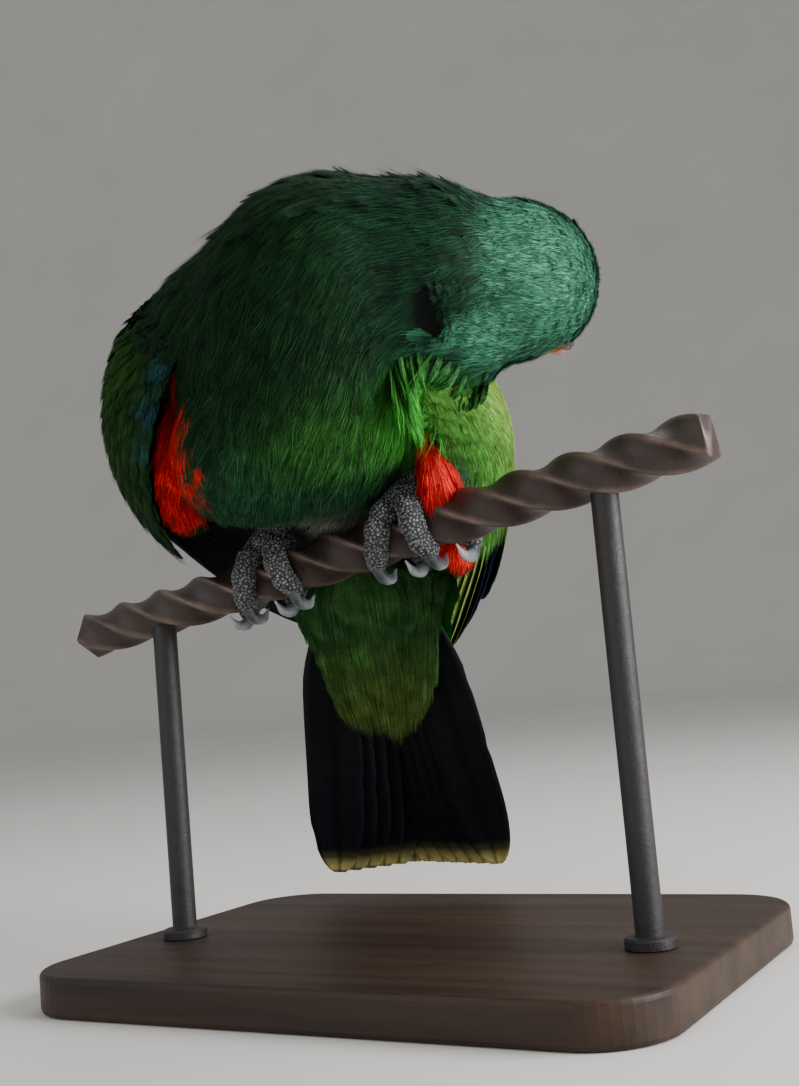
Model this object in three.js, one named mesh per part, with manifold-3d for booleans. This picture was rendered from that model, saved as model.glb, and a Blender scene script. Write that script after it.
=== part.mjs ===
// A male eclectus parrot at life size, perched on a cut length of twisted square iron bar.
// It has turned its head right round to the back, crown out over its left shoulder, as when preening.
// Millimetres, +Z up, origin on the floor under the middle of the base; the bird faces -Y, its left is +X.
import * as THREE from "three";
import { mergeVertices } from "three/addons/utils/BufferGeometryUtils.js";
import Module from "manifold-3d";

const wasm = await Module();
wasm.setup();

// Driving sizes
const PERCH_HEIGHT = 130; // the bar's axis over the floor at the middle of the perch
const PERCH_TILT = 8.3; // degrees, the bird's left foot is the higher
const BODY_YAW = 17; // degrees between the bird's facing and the square across the bar
const GAP = 0.3; // between neighbouring pieces
const BAR_SIDE = 12;
const BAR_PITCH = 68; // length of one full turn of the twist
const BAR_FROM = -108;
const BAR_TO = 120;
const RODS = [
  ["stand_rod_right", -75],
  ["stand_rod_left", 88],
];
const ROD_RADIUS = 4;
const BASE = { x: 7, y: 12, length: 202, depth: 142, height: 12, corner: 22 };
const HEAD = { centre: [66, -14, 73], turn: -175, nod: 7.6, roll: 97 };
const EYE = { centre: [16.2, -7, 7.2], radius: 5.2 }; // in the head's frame
const TAIL = { root: [0, 27, 5], tip: [-5, 88, -108], spread: 42 };
const TOE_OUT = 9.4; // from the bar's axis to the middle of a toe
// Where each foot sits on the bar, and for each toe how far its tip lies along the bar from there
const FEET = {
  right: {
    centre: -26,
    ankle: [-21, 3, 20],
    hip: [-18, 0, 30],
    toes: [
      { shift: -10, behind: false, reach: 6 },
      { shift: 9, behind: false, reach: 0 },
      { shift: -19, behind: true, reach: 0 },
      { shift: 0, behind: true, reach: 4 },
    ],
  },
  left: {
    centre: 27,
    ankle: [27, -4, 26],
    hip: [23, -4, 32],
    toes: [
      { shift: -13, behind: false, reach: 4 },
      { shift: 5, behind: false, reach: 10 },
      { shift: -4, behind: true, reach: 2 },
      { shift: 14, behind: true, reach: 4 },
    ],
  },
};

const rad = THREE.MathUtils.degToRad;
const { clamp, lerp, smoothstep } = THREE.MathUtils;

const V = (x, y, z) => new THREE.Vector3(x, y, z);

// Solids from a field: negative inside, about a distance in millimetres

function ellipsoid([x, y, z], [a, b, c], [tx, ty, tz] = [0, 0, 0]) {
  const centre = V(x, y, z);
  const back = new THREE.Quaternion()
    .setFromEuler(new THREE.Euler(rad(tx), rad(ty), rad(tz), "YXZ"))
    .invert();
  const q = V(0, 0, 0);
  return (p) => {
    q.copy(p).sub(centre).applyQuaternion(back);
    const near = Math.hypot(q.x / a, q.y / b, q.z / c);
    const slope = Math.hypot(q.x / (a * a), q.y / (b * b), q.z / (c * c));
    return slope < 1e-6 ? -Math.min(a, b, c) : (near * (near - 1)) / slope;
  };
}

// A bar with round ends that tapers from one radius to another
function cone(a, b, ra, rb) {
  const from = V(...a);
  const along = V(...b).sub(from);
  const square = along.lengthSq();
  const q = V(0, 0, 0);
  return (p) => {
    q.copy(p).sub(from);
    const t = clamp(q.dot(along) / square, 0, 1);
    return q.addScaledVector(along, -t).length() - lerp(ra, rb, t);
  };
}

function blend(soft, ...fields) {
  return (p) =>
    fields
      .map((field) => field(p))
      .reduce((a, b) => {
        const h = clamp(0.5 + (0.5 * (b - a)) / soft, 0, 1);
        return lerp(b, a, h) - soft * h * (1 - h);
      });
}

const grown = (field, by) => (p) => field(p) - by;
const common = (...fields) => (p) => Math.max(...fields.map((field) => field(p)));
const without = (field, ...cutters) => (p) =>
  Math.max(field(p), ...cutters.map((cutter) => -cutter(p)));
const beyond = (point, direction) => {
  const n = V(...direction).normalize();
  const start = V(...point);
  return (p) => -q0.copy(p).sub(start).dot(n);
};
const q0 = V(0, 0, 0);

// A closed surface as a solid, turned to face outwards
function solidFrom(positions, triangles) {
  const wrap = (indices) =>
    new wasm.Manifold(
      new wasm.Mesh({
        numProp: 3,
        vertProperties: new Float32Array(positions),
        triVerts: new Uint32Array(indices),
      }),
    );
  const made = wrap(triangles);
  return made.volume() > 0 ? made : wrap(Array.from(triangles).reverse());
}

function solidOf(geometry) {
  const bare = geometry.clone();
  bare.deleteAttribute("normal");
  bare.deleteAttribute("uv");
  const merged = mergeVertices(bare, 1e-4);
  return solidFrom(merged.attributes.position.array, merged.index.array);
}

// A field's values on a grid, where no face of a cell is inside at two corners across a diagonal only
function gridOf(field, low, n, cell) {
  const at = (i, j, k) => (k * n[1] + j) * n[0] + i;
  const values = new Float32Array(n[0] * n[1] * n[2]);
  const eachNode = (visit) => {
    for (let k = 0; k < n[2]; k++)
      for (let j = 0; j < n[1]; j++) for (let i = 0; i < n[0]; i++) visit(i, j, k);
  };
  const p = V(0, 0, 0);
  const least = 0.03 * cell;
  eachNode((i, j, k) => {
    const value = field(p.set(low[0] + i * cell, low[1] + j * cell, low[2] + k * cell));
    values[at(i, j, k)] = value < 0 ? Math.min(value, -least) : Math.max(value, least);
  });
  const faces = [[1, n[0]], [n[0], n[0] * n[1]], [n[0] * n[1], 1]];
  for (let pass = 0; pass < 4; pass++)
    eachNode((i, j, k) => {
      if (i > n[0] - 2 || j > n[1] - 2 || k > n[2] - 2) return;
      for (const [s, t] of faces) {
        const four = [0, s, s + t, t].map((step) => at(i, j, k) + step);
        const [a, b, c, d] = four.map((m) => values[m] < 0);
        if (a === c && b === d && a !== b) values[four[a ? 1 : 0]] = -least;
      }
    });
  return [values, at];
}

// The surface where a field is zero: one point in each grid cell it crosses, drawn onto it by its slope
function skinned(field, low, high, cell) {
  const n = low.map((v, i) => Math.ceil((high[i] - v) / cell) + 1);
  const [values, at] = gridOf(field, low, n, cell);
  const p = V(0, 0, 0);
  const corners = [0, 1, 2, 3, 4, 5, 6, 7].map((c) => [c & 1, (c >> 1) & 1, c >> 2]);
  const edges = [];
  for (let a = 0; a < 8; a++)
    for (const bit of [1, 2, 4]) if (!(a & bit)) edges.push([a, a | bit]);
  const place = new Int32Array(values.length).fill(-1);
  const positions = [];
  const slope = V(0, 0, 0);
  for (let k = 0; k < n[2] - 1; k++)
    for (let j = 0; j < n[1] - 1; j++)
      for (let i = 0; i < n[0] - 1; i++) {
        const f = corners.map(([x, y, z]) => values[at(i + x, j + y, k + z)]);
        const sum = [0, 0, 0, 0];
        for (const [a, b] of edges)
          if (f[a] < 0 !== f[b] < 0) {
            const t = f[a] / (f[a] - f[b]);
            for (const d of [0, 1, 2]) sum[d] += lerp(corners[a][d], corners[b][d], t);
            sum[3] += 1;
          }
        if (!sum[3]) continue;
        const start = [i, j, k].map((v, d) => low[d] + (v + sum[d] / sum[3]) * cell);
        p.set(...start);
        for (let step = 0; step < 3; step++) drawOnto(field, p, slope, cell);
        for (const [d, name] of ["x", "y", "z"].entries())
          p[name] = clamp(p[name], start[d] - 0.35 * cell, start[d] + 0.35 * cell);
        place[at(i, j, k)] = positions.length / 3;
        positions.push(p.x, p.y, p.z);
      }
  const triangles = [];
  const quad = (a, b, c, d, flip) => {
    const [w, x, y, z] = [a, b, c, d].map((cellAt) => place[cellAt]);
    const gap = (s, t) =>
      Math.hypot(...[0, 1, 2].map((m) => positions[3 * s + m] - positions[3 * t + m]));
    const two = gap(w, y) < gap(x, z) ? [w, x, y, w, y, z] : [x, y, z, x, z, w];
    for (let m = 0; m < 6; m += 3)
      triangles.push(...(flip ? [two[m], two[m + 2], two[m + 1]] : two.slice(m, m + 3)));
  };
  for (let k = 1; k < n[2] - 1; k++)
    for (let j = 1; j < n[1] - 1; j++)
      for (let i = 1; i < n[0] - 1; i++) {
        const inside = values[at(i, j, k)] < 0;
        if (inside !== values[at(i + 1, j, k)] < 0)
          quad(at(i, j, k), at(i, j - 1, k), at(i, j - 1, k - 1), at(i, j, k - 1), !inside);
        if (inside !== values[at(i, j + 1, k)] < 0)
          quad(at(i, j, k), at(i, j, k - 1), at(i - 1, j, k - 1), at(i - 1, j, k), !inside);
        if (inside !== values[at(i, j, k + 1)] < 0)
          quad(at(i, j, k), at(i - 1, j, k), at(i - 1, j - 1, k), at(i, j - 1, k), !inside);
      }
  return solidFrom(positions, triangles);
}

function drawOnto(field, p, slope, cell) {
  const h = 0.05 * cell;
  const value = field(p);
  for (const name of ["x", "y", "z"]) {
    p[name] += h;
    slope[name] = (field(p) - value) / h;
    p[name] -= h;
  }
  const square = slope.lengthSq();
  if (square > 0.04) p.addScaledVector(slope, -value / square);
}

// Solids from rings: each ring has the same number of points, and the ends are closed by fans

function lofted(rings) {
  const count = rings[0].length;
  const positions = rings.flatMap((ring) => ring.flatMap((v) => [v.x, v.y, v.z]));
  const triangles = [];
  for (let r = 0; r < rings.length - 1; r++)
    for (let c = 0; c < count; c++) {
      const [a, b] = [r * count + c, r * count + ((c + 1) % count)];
      triangles.push(a, b, b + count, a, b + count, a + count);
    }
  const last = (rings.length - 1) * count;
  for (let c = 1; c < count - 1; c++)
    triangles.push(0, c + 1, c, last, last + c, last + c + 1);
  return solidFrom(positions, triangles);
}

// A tube along points whose section is an ellipse: [half width, half height] at each point
function swept(points, sizes, sideways, count, fineness) {
  const curve = new THREE.CatmullRomCurve3(points.map((v) => V(...v)), false, "centripetal");
  const steps = (points.length - 1) * fineness;
  const rings = [];
  for (let s = 0; s <= steps; s++) {
    const t = s / steps;
    const place = t * (points.length - 1);
    const from = Math.min(Math.floor(place), points.length - 2);
    const share = smoothstep(place - from, 0, 1);
    const [w, h] = [0, 1].map((m) => lerp(sizes[from][m], sizes[from + 1][m], share));
    const centre = curve.getPoint(t);
    const along = curve.getTangent(t);
    const side = V(...sideways).addScaledVector(along, -along.dot(V(...sideways))).normalize();
    const top = V(0, 0, 0).crossVectors(along, side);
    rings.push(
      Array.from({ length: count }, (_, c) => {
        const angle = (2 * Math.PI * c) / count;
        return centre
          .clone()
          .addScaledVector(side, w * Math.cos(angle))
          .addScaledVector(top, h * Math.sin(angle));
      }),
    );
  }
  return lofted(rings);
}

const fused = (solids) => largest(solids.reduce((a, b) => a.add(b)));
const largest = (solid) =>
  solid.decompose().reduce((a, b) => (a.volume() > b.volume() ? a : b));
const under = (solid) =>
  solid.decompose().reduce((a, b) => (a.boundingBox().min[2] < b.boundingBox().min[2] ? a : b));

// A curved sheet through guide lines, in which feathers lie: u runs from the roots to the tips, v across it
class Sheet {
  constructor(...guides) {
    this.guides = guides.map(
      (points) => new THREE.CatmullRomCurve3(points.map((v) => V(...v)), false, "catmullrom", 0.5),
    );
    this.outwards = 1;
  }

  point(u, v) {
    const [a, b, c] = this.guides.map((guide) => guide.getPoint(clamp(u, 0, 1)));
    const beyondTip = Math.max(0, u - 1);
    const place = V(0, 0, 0)
      .addScaledVector(a, (2 * v - 1) * (v - 1))
      .addScaledVector(b, 4 * v * (1 - v))
      .addScaledVector(c, v * (2 * v - 1));
    return place.addScaledVector(this.guides[1].getTangent(1), beyondTip * 100);
  }

  normal(u, v) {
    const h = 0.01;
    const [u1, v1] = [clamp(u, h, 1 - h), clamp(v, h, 1 - h)];
    const across = this.point(u1, v1 + h).sub(this.point(u1, v1 - h));
    const along = this.point(u1 + h, v1).sub(this.point(u1 - h, v1));
    return across.cross(along).normalize().multiplyScalar(this.outwards);
  }

  raised(u, v, height) {
    return this.point(u, v).addScaledVector(this.normal(u, v), height);
  }
}

// Half the width of a vane along its length, as a share of its widest: narrow quill, full web, round tip
function vaneOutline(t, pointed) {
  const root = lerp(0.45, 1, smoothstep(t, 0, 0.35));
  const tip = t < 0.72 ? 1 : Math.sqrt(Math.max(0.02, 1 - ((t - 0.72) / 0.285) ** (pointed ? 1.5 : 2.4)));
  return root * tip;
}

// One feather on a sheet, from its root to its tip, as a thin closed body with flat faces
function vane(sheet, { from, to, width, lift, drop, tilt, pointed = false, bow = 0, steps = 5 }) {
  const rings = [];
  for (let s = 0; s <= steps; s++) {
    const t = 1 - (1 - s / steps) ** 1.4;
    const [spot, ahead] = [t, t + 0.02].map((at) => [
      lerp(from[0], to[0], at),
      lerp(from[1], to[1], at) + bow * Math.sin(Math.PI * at),
    ]);
    const normal = sheet.normal(...spot);
    const centre = sheet.raised(...spot, lerp(lift, drop, t));
    const along = sheet.raised(...ahead, lerp(lift, drop, t)).sub(centre).normalize();
    const side = V(0, 0, 0).crossVectors(along, normal).normalize();
    const half = 0.5 * width * vaneOutline(t, pointed);
    const slant = Math.tan(rad(tilt));
    const thick = lerp(0.34, 0.26, t);
    const edge = (sign, up) =>
      centre
        .clone()
        .addScaledVector(side, sign * half)
        .addScaledVector(normal, sign * half * slant + up * thick);
    rings.push([edge(-1, 1), edge(1, 1), edge(1, -1), edge(-1, -1)]);
  }
  return strip(rings, 2);
}

// A slab that follows a sheet, between two heights over it that vary with u and v
function slab(sheet, [u0, u1, nu], [v0, v1, nv], topAt, bottomAt) {
  const rings = [];
  for (let i = 0; i <= nu; i++) {
    const u = lerp(u0, u1, i / nu);
    const ring = [];
    for (let j = 0; j <= nv; j++) {
      const v = lerp(v0, v1, j / nv);
      ring.push(sheet.raised(u, v, topAt(i / nu, j / nv)));
    }
    for (let j = nv; j >= 0; j--) {
      const v = lerp(v0, v1, j / nv);
      ring.push(sheet.raised(u, v, bottomAt(i / nu, j / nv)));
    }
    rings.push(ring);
  }
  return strip(rings, nv + 1);
}

// A thin body from rings with as many points on top as underneath, both faces split along the same lines
function strip(rings, across) {
  const count = rings[0].length;
  const positions = rings.flatMap((ring) => ring.flatMap((v) => [v.x, v.y, v.z]));
  const triangles = [];
  for (let r = 0; r < rings.length - 1; r++)
    for (let c = 0; c < count; c++) {
      const [a, b] = [r * count + c, r * count + ((c + 1) % count)];
      if (c < across) triangles.push(a, b, b + count, a, b + count, a + count);
      else triangles.push(a, b, a + count, b, b + count, a + count);
    }
  const last = (rings.length - 1) * count;
  for (let c = 0; c < across - 1; c++) {
    const [a, b, d, e] = [c, c + 1, count - 2 - c, count - 1 - c];
    triangles.push(a, d, b, a, e, d);
    triangles.push(last + a, last + b, last + d, last + a, last + d, last + e);
  }
  return solidFrom(positions, triangles);
}

// Materials
const paint = (colour, roughness, metalness = 0) =>
  new THREE.MeshStandardMaterial({ color: colour, roughness, metalness });
const GREEN = paint(0x1f5a2c, 0.75);
const HEAD_GREEN = paint(0x2f7a52, 0.75);
const RED = paint(0xb02218, 0.8);
const DARK_QUILL = paint(0x14161f, 0.6);
const VENT_GREEN = paint(0x46682a, 0.75);
const ORANGE_BILL = paint(0xe58a2b, 0.35);
const BLACK_BILL = paint(0x1b1a1a, 0.4);
const IRIS = paint(0x8a3a12, 0.1);
const GREY_SKIN = paint(0x6d7274, 0.7);
const CLAW = paint(0x8f979b, 0.4);
const IRON = paint(0x2b2320, 0.6, 0.7);
const BASE_WOOD = paint(0x2c2622, 0.5);

const bird = new THREE.Group();
bird.position.z = PERCH_HEIGHT;
bird.rotation.z = rad(BODY_YAW);
const stand = new THREE.Group();
const parrot = new THREE.Group();
parrot.add(bird, stand);

function add(group, name, solid, material) {
  const mesh = largest(solid).getMesh();
  const geometry = new THREE.BufferGeometry();
  geometry.setAttribute("position", new THREE.BufferAttribute(mesh.vertProperties, 3));
  geometry.setIndex(new THREE.BufferAttribute(mesh.triVerts, 1));
  geometry.computeVertexNormals();
  const made = new THREE.Mesh(geometry, material);
  made.name = name;
  group.add(made);
}

// The twisted square bar, its corners a little rounded
function twistedBar(side, from, to) {
  const steps = Math.round(((to - from) / BAR_PITCH) * 15);
  const round = 0.12 * side;
  const half = 0.5 * side;
  const outline = [
    [half, half - round],
    [half - round, half],
    [round - half, half],
    [-half, half - round],
    [-half, round - half],
    [round - half, -half],
    [half - round, -half],
    [half, round - half],
  ];
  const rings = [];
  for (let s = 0; s <= steps; s++) {
    const x = lerp(from, to, s / steps);
    const turn = (2 * Math.PI * x) / BAR_PITCH;
    const [c, d] = [Math.cos(turn), Math.sin(turn)];
    rings.push(outline.map(([y, z]) => V(x, y * c - z * d, y * d + z * c)));
  }
  return lofted(rings).rotate([0, -PERCH_TILT, 0]);
}

const bar = twistedBar(BAR_SIDE, BAR_FROM, BAR_TO);
const barRoom = twistedBar(BAR_SIDE + 2 * GAP, BAR_FROM - BAR_PITCH / 15, BAR_TO + BAR_PITCH / 15);
const barRoomUnderBird = barRoom.rotate([0, 0, -BODY_YAW]);

// The head has a frame of its own: x to its left, y back, z up, origin in the middle of the skull
const headPlace = new THREE.Matrix4().compose(
  V(...HEAD.centre),
  new THREE.Quaternion().setFromEuler(
    new THREE.Euler(rad(HEAD.nod), rad(HEAD.roll), rad(HEAD.turn), "YXZ"),
  ),
  V(1, 1, 1),
);
const intoHead = headPlace.clone().invert();
const onHead = (solid) => solid.transform(headPlace.elements);

function headField() {
  const skull = blend(
    6,
    ellipsoid([0, -1, 1], [20.5, 23, 20]),
    ellipsoid([0, -5, -8], [18.5, 18, 13]),
    ellipsoid([0, -14, 2], [13, 11.5, 12.5]),
    ellipsoid([0, 12, -2], [20.5, 16, 19]),
  );
  const q = V(0, 0, 0);
  return (p) => skull(q.copy(p).applyMatrix4(intoHead));
}

// The plumage's outline: belly and breast, shoulders, neck over the left shoulder, skull
const torsoField = blend(
  12,
  ellipsoid([1, -24, 55], [37, 50, 40], [-44, 9, 0]),
  ellipsoid([-23, -22, 31], [22, 30, 22]),
  ellipsoid([-25, -24, 67], [24, 27, 26]),
  ellipsoid([6, -30, 77], [30, 29, 29]),
  ellipsoid([3, -6, 78], [30, 24, 24]),
  ellipsoid([0, 18, 26], [25, 26, 25], [-44, 0, 0]),
  ellipsoid([-27, 6, 46], [25, 36, 27], [-40, 0, 0]),
  ellipsoid([20, 8, 46], [21, 33, 25], [-40, 0, 0]),
);
const neckField = blend(
  8,
  cone([14, -36, 75], [38, -30, 74], 32, 28),
  cone([38, -30, 74], [58, -20, 73], 28, 21),
  ellipsoid([45, -22, 52], [16, 17, 15]),
);
const bodyField = blend(9, torsoField, neckField, headField());

// Where neck and head start: a point on each cut and the side it keeps
const NECK_CUT = [[27, -34, 80], [1, 0.12, 0.16]];
const NECK_UNDER = [[44, -24, 45], [-0.1, 0, 1]];
const HEAD_CUT = [[50, -23, 77], [0.97, 0.12, 0.1]];
const neckSide = common(beyond(...NECK_CUT), beyond(...NECK_UNDER));
const headSide = common(neckSide, beyond(...HEAD_CUT));

const past = (solid, [point, direction], by = 0) => {
  const n = V(...direction).normalize();
  return solid.trimByPlane(n.toArray(), n.dot(V(...point)) + by);
};
const short = (solid, [point, direction], by = 0) =>
  past(solid, [point, direction.map((d) => -d)], by);

// Wings: each lies in a sheet between its leading edge, its middle and its edge over the back
const WINGS = {
  right: {
    outwards: 1,
    leading: [[-34, -45, 60], [-44, -42, 34], [-52, -22, 15], [-55, 14, 6], [-43, 50, -10], [-14, 88, -29]],
    middle: [[-45, -34, 74], [-56, -24, 59], [-59, -4, 47], [-53, 30, 28], [-36, 66, 4], [-9, 98, -25]],
    trailing: [[-27, -18, 90], [-26, 2, 95], [-17, 25, 86], [-7, 53, 56], [-2, 83, 19], [2, 104, -19]],
  },
  left: {
    outwards: -1,
    leading: [[34, -38, 44], [38, -20, 30], [38, 4, 17], [34, 32, 1], [20, 64, -18], [4, 94, -42]],
    middle: [[40, -28, 46], [46, -8, 42], [47, 16, 34], [40, 44, 18], [24, 76, -10], [2, 105, -39]],
    trailing: [[33, -8, 52], [33, 12, 66], [24, 32, 65], [12, 57, 44], [4, 85, 9], [-2, 108, -36]],
  },
};

function wing(side) {
  const { leading, middle, trailing, outwards } = WINGS[side];
  const sheet = new Sheet(leading, middle, trailing);
  sheet.outwards = outwards;
  const swell = (s, t) => Math.sin(Math.PI * clamp(t, 0, 1)) ** 0.6 * Math.cos(0.5 * Math.PI * s) ** 0.5;
  const tilt = -9 * outwards;
  const coverts = [slab(sheet, [0.03, 0.44, 4], [0, 1, 5], (s, t) => 5.6 + 3 * swell(s, t), () => 4.2)];
  const tier = (count, low, high, from, to, rest) => {
    for (let m = 0; m < count; m++) {
      const v = lerp(low, high, m / (count - 1));
      coverts.push(vane(sheet, { from: [from, v], to: [to, v - 0.03], tilt, steps: 2, ...rest }));
    }
  };
  tier(6, 0.1, 0.9, 0.37, 0.62, { width: 19, lift: 5.8, drop: 7 });
  tier(4, 0.16, 0.84, 0.26, 0.5, { width: 24, lift: 6.4, drop: 8.2 });
  const flight = [slab(sheet, [0.05, 0.4, 3], [0.05, 0.95, 5], () => 1.4, () => -2.4)];
  for (let m = 0; m < 6; m++)
    flight.push(
      vane(sheet, {
        from: [0.32, 0.1 + 0.06 * m],
        to: [1 - 0.03 * m, 0.16 + 0.1 * m],
        width: 15,
        lift: -1.2 + 0.1 * m,
        drop: -2.2 + 0.9 * m,
        tilt: 1.3 * tilt,
        pointed: true,
        bow: -0.04,
        steps: 4,
      }),
    );
  for (let m = 0; m < 5; m++)
    flight.push(
      vane(sheet, {
        from: [0.34, 0.46 + 0.105 * m],
        to: [0.8 - 0.015 * m, 0.44 + 0.115 * m],
        width: 19,
        lift: 1,
        drop: 3.4,
        tilt,
        steps: 3,
      }),
    );
  const room = slab(sheet, [0, 1, 6], [-0.04, 1.1, 6], (s, t) => 10.4 + 1.6 * swell(s, t), () => -4.2);
  const ahead = sheet.point(0, 0.5).sub(sheet.point(0.1, 0.5)).setLength(2).toArray();
  return { coverts: fused(coverts), flight: fused(flight), room: room.add(room.translate(ahead)) };
}

const wings = { left: wing("left"), right: wing("right") };

// Tail: quills in a fan from one root, the middle pair over the others
const fan = (shares) => new Sheet(...[-TAIL.spread, 0, TAIL.spread].map((across) => {
  const from = V(...TAIL.root);
  const along = V(...TAIL.tip).sub(from);
  return [0, 0.33, 0.66, 1].map((t, m) => {
    const p = from.clone().addScaledVector(along, t);
    const out = across * shares[m];
    return [p.x + out * lerp(0.5, 1, t ** 0.6), p.y, p.z - 0.14 * Math.abs(out) * shares[m]];
  });
}));
const tailSheet = fan([1, 1, 1, 1]);
const coverSheet = fan([1.3, 0.68, 0.3, 0.2]);

function tail() {
  const pieces = [slab(tailSheet, [0, 0.2, 2], [0.14, 0.86, 4], () => 2.6, () => -6)];
  for (let m = 0; m < 10; m++) {
    const place = (m - 4.5) / 4.5;
    const rank = 2 * Math.abs(m - 4.5) - (m > 4 ? 0.5 : 1);
    pieces.push(
      vane(tailSheet, {
        from: [0.08, 0.5 + 0.27 * place],
        to: [1 - 0.05 * Math.abs(place) ** 1.6, 0.5 + 0.35 * place],
        width: 21,
        lift: 2.2 - 0.9 * rank,
        drop: 2.2 - 0.9 * rank,
        tilt: 0,
        steps: 4,
      }),
    );
  }
  return fused(pieces);
}

// The soft feathers over and under the root of the tail: a rounded mass with tiers of vanes out of it
function tailCoverts(side, depth, tiers) {
  const dome = (s, t) => depth * Math.sin(Math.PI * clamp(t, 0.06, 0.94)) ** 0.7 * (1 - 0.45 * s);
  const clear = side > 0 ? 4.4 : 7.6;
  const [near, far] = [(s, t) => side * (clear + dome(s, t)), () => side * clear];
  const heights = side > 0 ? [near, far] : [far, near];
  const pieces = [slab(coverSheet, [0.02, 0.36, 3], [0, 1, 6], ...heights)];
  for (const { count, spread, from, to, lift, width } of tiers)
    for (let m = 0; m < count; m++) {
      const place = (2 * m) / (count - 1) - 1;
      const rank = Math.abs(2 * m - count + 1) + (place > 0 ? 0.5 : 0);
      pieces.push(
        vane(coverSheet, {
          from: [from, 0.5 + spread * place],
          to: [to - 0.14 * place * place, 0.5 + spread * place],
          width,
          lift: side * (lift - 0.45 * rank),
          drop: side * (0.6 * lift + 3.2 - 0.45 * rank),
          tilt: 0,
          steps: 3,
        }),
      );
    }
  return fused(pieces);
}

const underTail = tailCoverts(-1, 9, [
  { count: 5, spread: 0.34, from: 0.22, to: 0.58, lift: 10, width: 15 },
  { count: 4, spread: 0.32, from: 0.14, to: 0.42, lift: 13.5, width: 18 },
]);
const overTail = tailCoverts(1, 6, [
  { count: 5, spread: 0.34, from: 0.24, to: 0.54, lift: 7, width: 16 },
]);

// Legs and feet. A point by the bar is given along it and round it: 0 in front, 90 on top, 180 behind
const barMatrix = new THREE.Matrix4()
  .makeRotationZ(rad(-BODY_YAW))
  .multiply(new THREE.Matrix4().makeRotationY(rad(-PERCH_TILT)));
const byBar = (along, angle, out) =>
  V(along, -out * Math.cos(rad(angle)), out * Math.sin(rad(angle))).applyMatrix4(barMatrix);
const alongBar = V(1, 0, 0).transformDirection(barMatrix).toArray();

function foot({ centre, ankle, toes }) {
  const sole = byBar(centre, 90, 11);
  const fields = [cone(ankle, sole.toArray(), 4.6, 5), ellipsoid(sole.toArray(), [7.5, 8, 4.6])];
  const claws = [];
  const clawRooms = [];
  for (const { shift, behind, reach } of toes) {
    const round = (angle) => (behind ? 180 - angle : angle) + (behind ? reach : -reach);
    const path = [90, 52, 14, -20, -46].map((angle, s) => {
      const along = centre + lerp(0.35 * shift, shift, s / 4);
      return byBar(along, s === 0 ? 90 : round(angle), TOE_OUT + (s === 0 ? 1 : 0)).toArray();
    });
    for (let s = 0; s < 4; s++) fields.push(cone(path[s], path[s + 1], 4 - 0.25 * s, 3.75 - 0.25 * s));
    const hook = (first) =>
      [first, -66, -92, -116].map((angle, s) =>
        byBar(centre + shift, round(angle), TOE_OUT + [0.4, 2.5, 2.4, 0.4][s]).toArray(),
      );
    const sizes = [[2.1, 2.5], [1.8, 2.2], [1.1, 1.5], [0.3, 0.35]];
    claws.push(swept(hook(-44), sizes, alongBar, 6, 2));
    clawRooms.push(swept(hook(-42), sizes.map((pair) => pair.map((r) => r + GAP)), alongBar, 6, 2));
  }
  const low = sole.toArray().map((v, d) => v - [26, 26, 32][d]);
  const high = sole.toArray().map((v, d) => v + [26, 26, 26][d]);
  const field = blend(1.5, ...fields);
  const flesh = clawRooms.reduce((sum, room) => sum.subtract(room), skinned(field, low, high, 4.1));
  return { flesh: flesh.subtract(barRoomUnderBird), room: skinned(grown(field, 1.1), low, high, 4.1), claws };
}

const feet = { left: foot(FEET.left), right: foot(FEET.right) };

function leg({ hip, ankle }) {
  const field = blend(4, ellipsoid(hip, [12, 14, 12]), cone(hip, ankle, 10, 6.4));
  const low = hip.map((v) => v - 26);
  const high = hip.map((v) => v + 26);
  return { flesh: skinned(field, low, high, 7), room: skinned(grown(field, 0.8), low, high, 7) };
}

const legs = { left: leg(FEET.left), right: leg(FEET.right) };

// Red feathers of the flank between belly and wing
const FLANKS = {
  right: ellipsoid([-43, -13, 34], [8, 26, 25], [-14, 10, 0]),
  left: ellipsoid([33, 2, 14], [8, 30, 19], [-38, 0, 0]),
};

// Bill, in the head's frame; the line of the mouth is the gap between its halves
const UPPER_BILL = {
  path: [[0, -12, 2], [0, -20, 3.5], [0, -29, 1.5], [0, -35.5, -6], [0, -35.5, -15], [0, -32, -22]],
  sizes: [[9, 10.5], [9, 10.5], [8, 9], [5.8, 6.2], [3.3, 3.7], [0.7, 0.9]],
};
const LOWER_BILL = {
  path: [[0, -8, -9], [0, -16, -12], [0, -23, -15], [0, -28.5, -14]],
  sizes: [[8.6, 6.6], [8.4, 6.4], [6.8, 4.8], [3.4, 1.6]],
};
const lengthen = ([a, ...rest], by) => [[a[0], a[1] + by, a[2]], ...rest];
const billPart = ({ path, sizes }, grow = 0) =>
  swept(lengthen(path, grow), sizes.map((pair) => pair.map((r) => r + grow)), [1, 0, 0], 12, 2);
const ball = (centre, radius) =>
  solidOf(new THREE.SphereGeometry(radius, 10, 7)).translate(centre);
const mirrored = ([x, y, z]) => [[x, y, z], [-x, y, z]];
const nostrils = mirrored([4.6, -17.5, 13.4]).map((at) => ball(at, 1.5));
const upperBill = nostrils.reduce((sum, hole) => sum.subtract(hole), billPart(UPPER_BILL));
const lowerBill = largest(billPart(LOWER_BILL).subtract(billPart(UPPER_BILL, GAP)));

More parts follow.
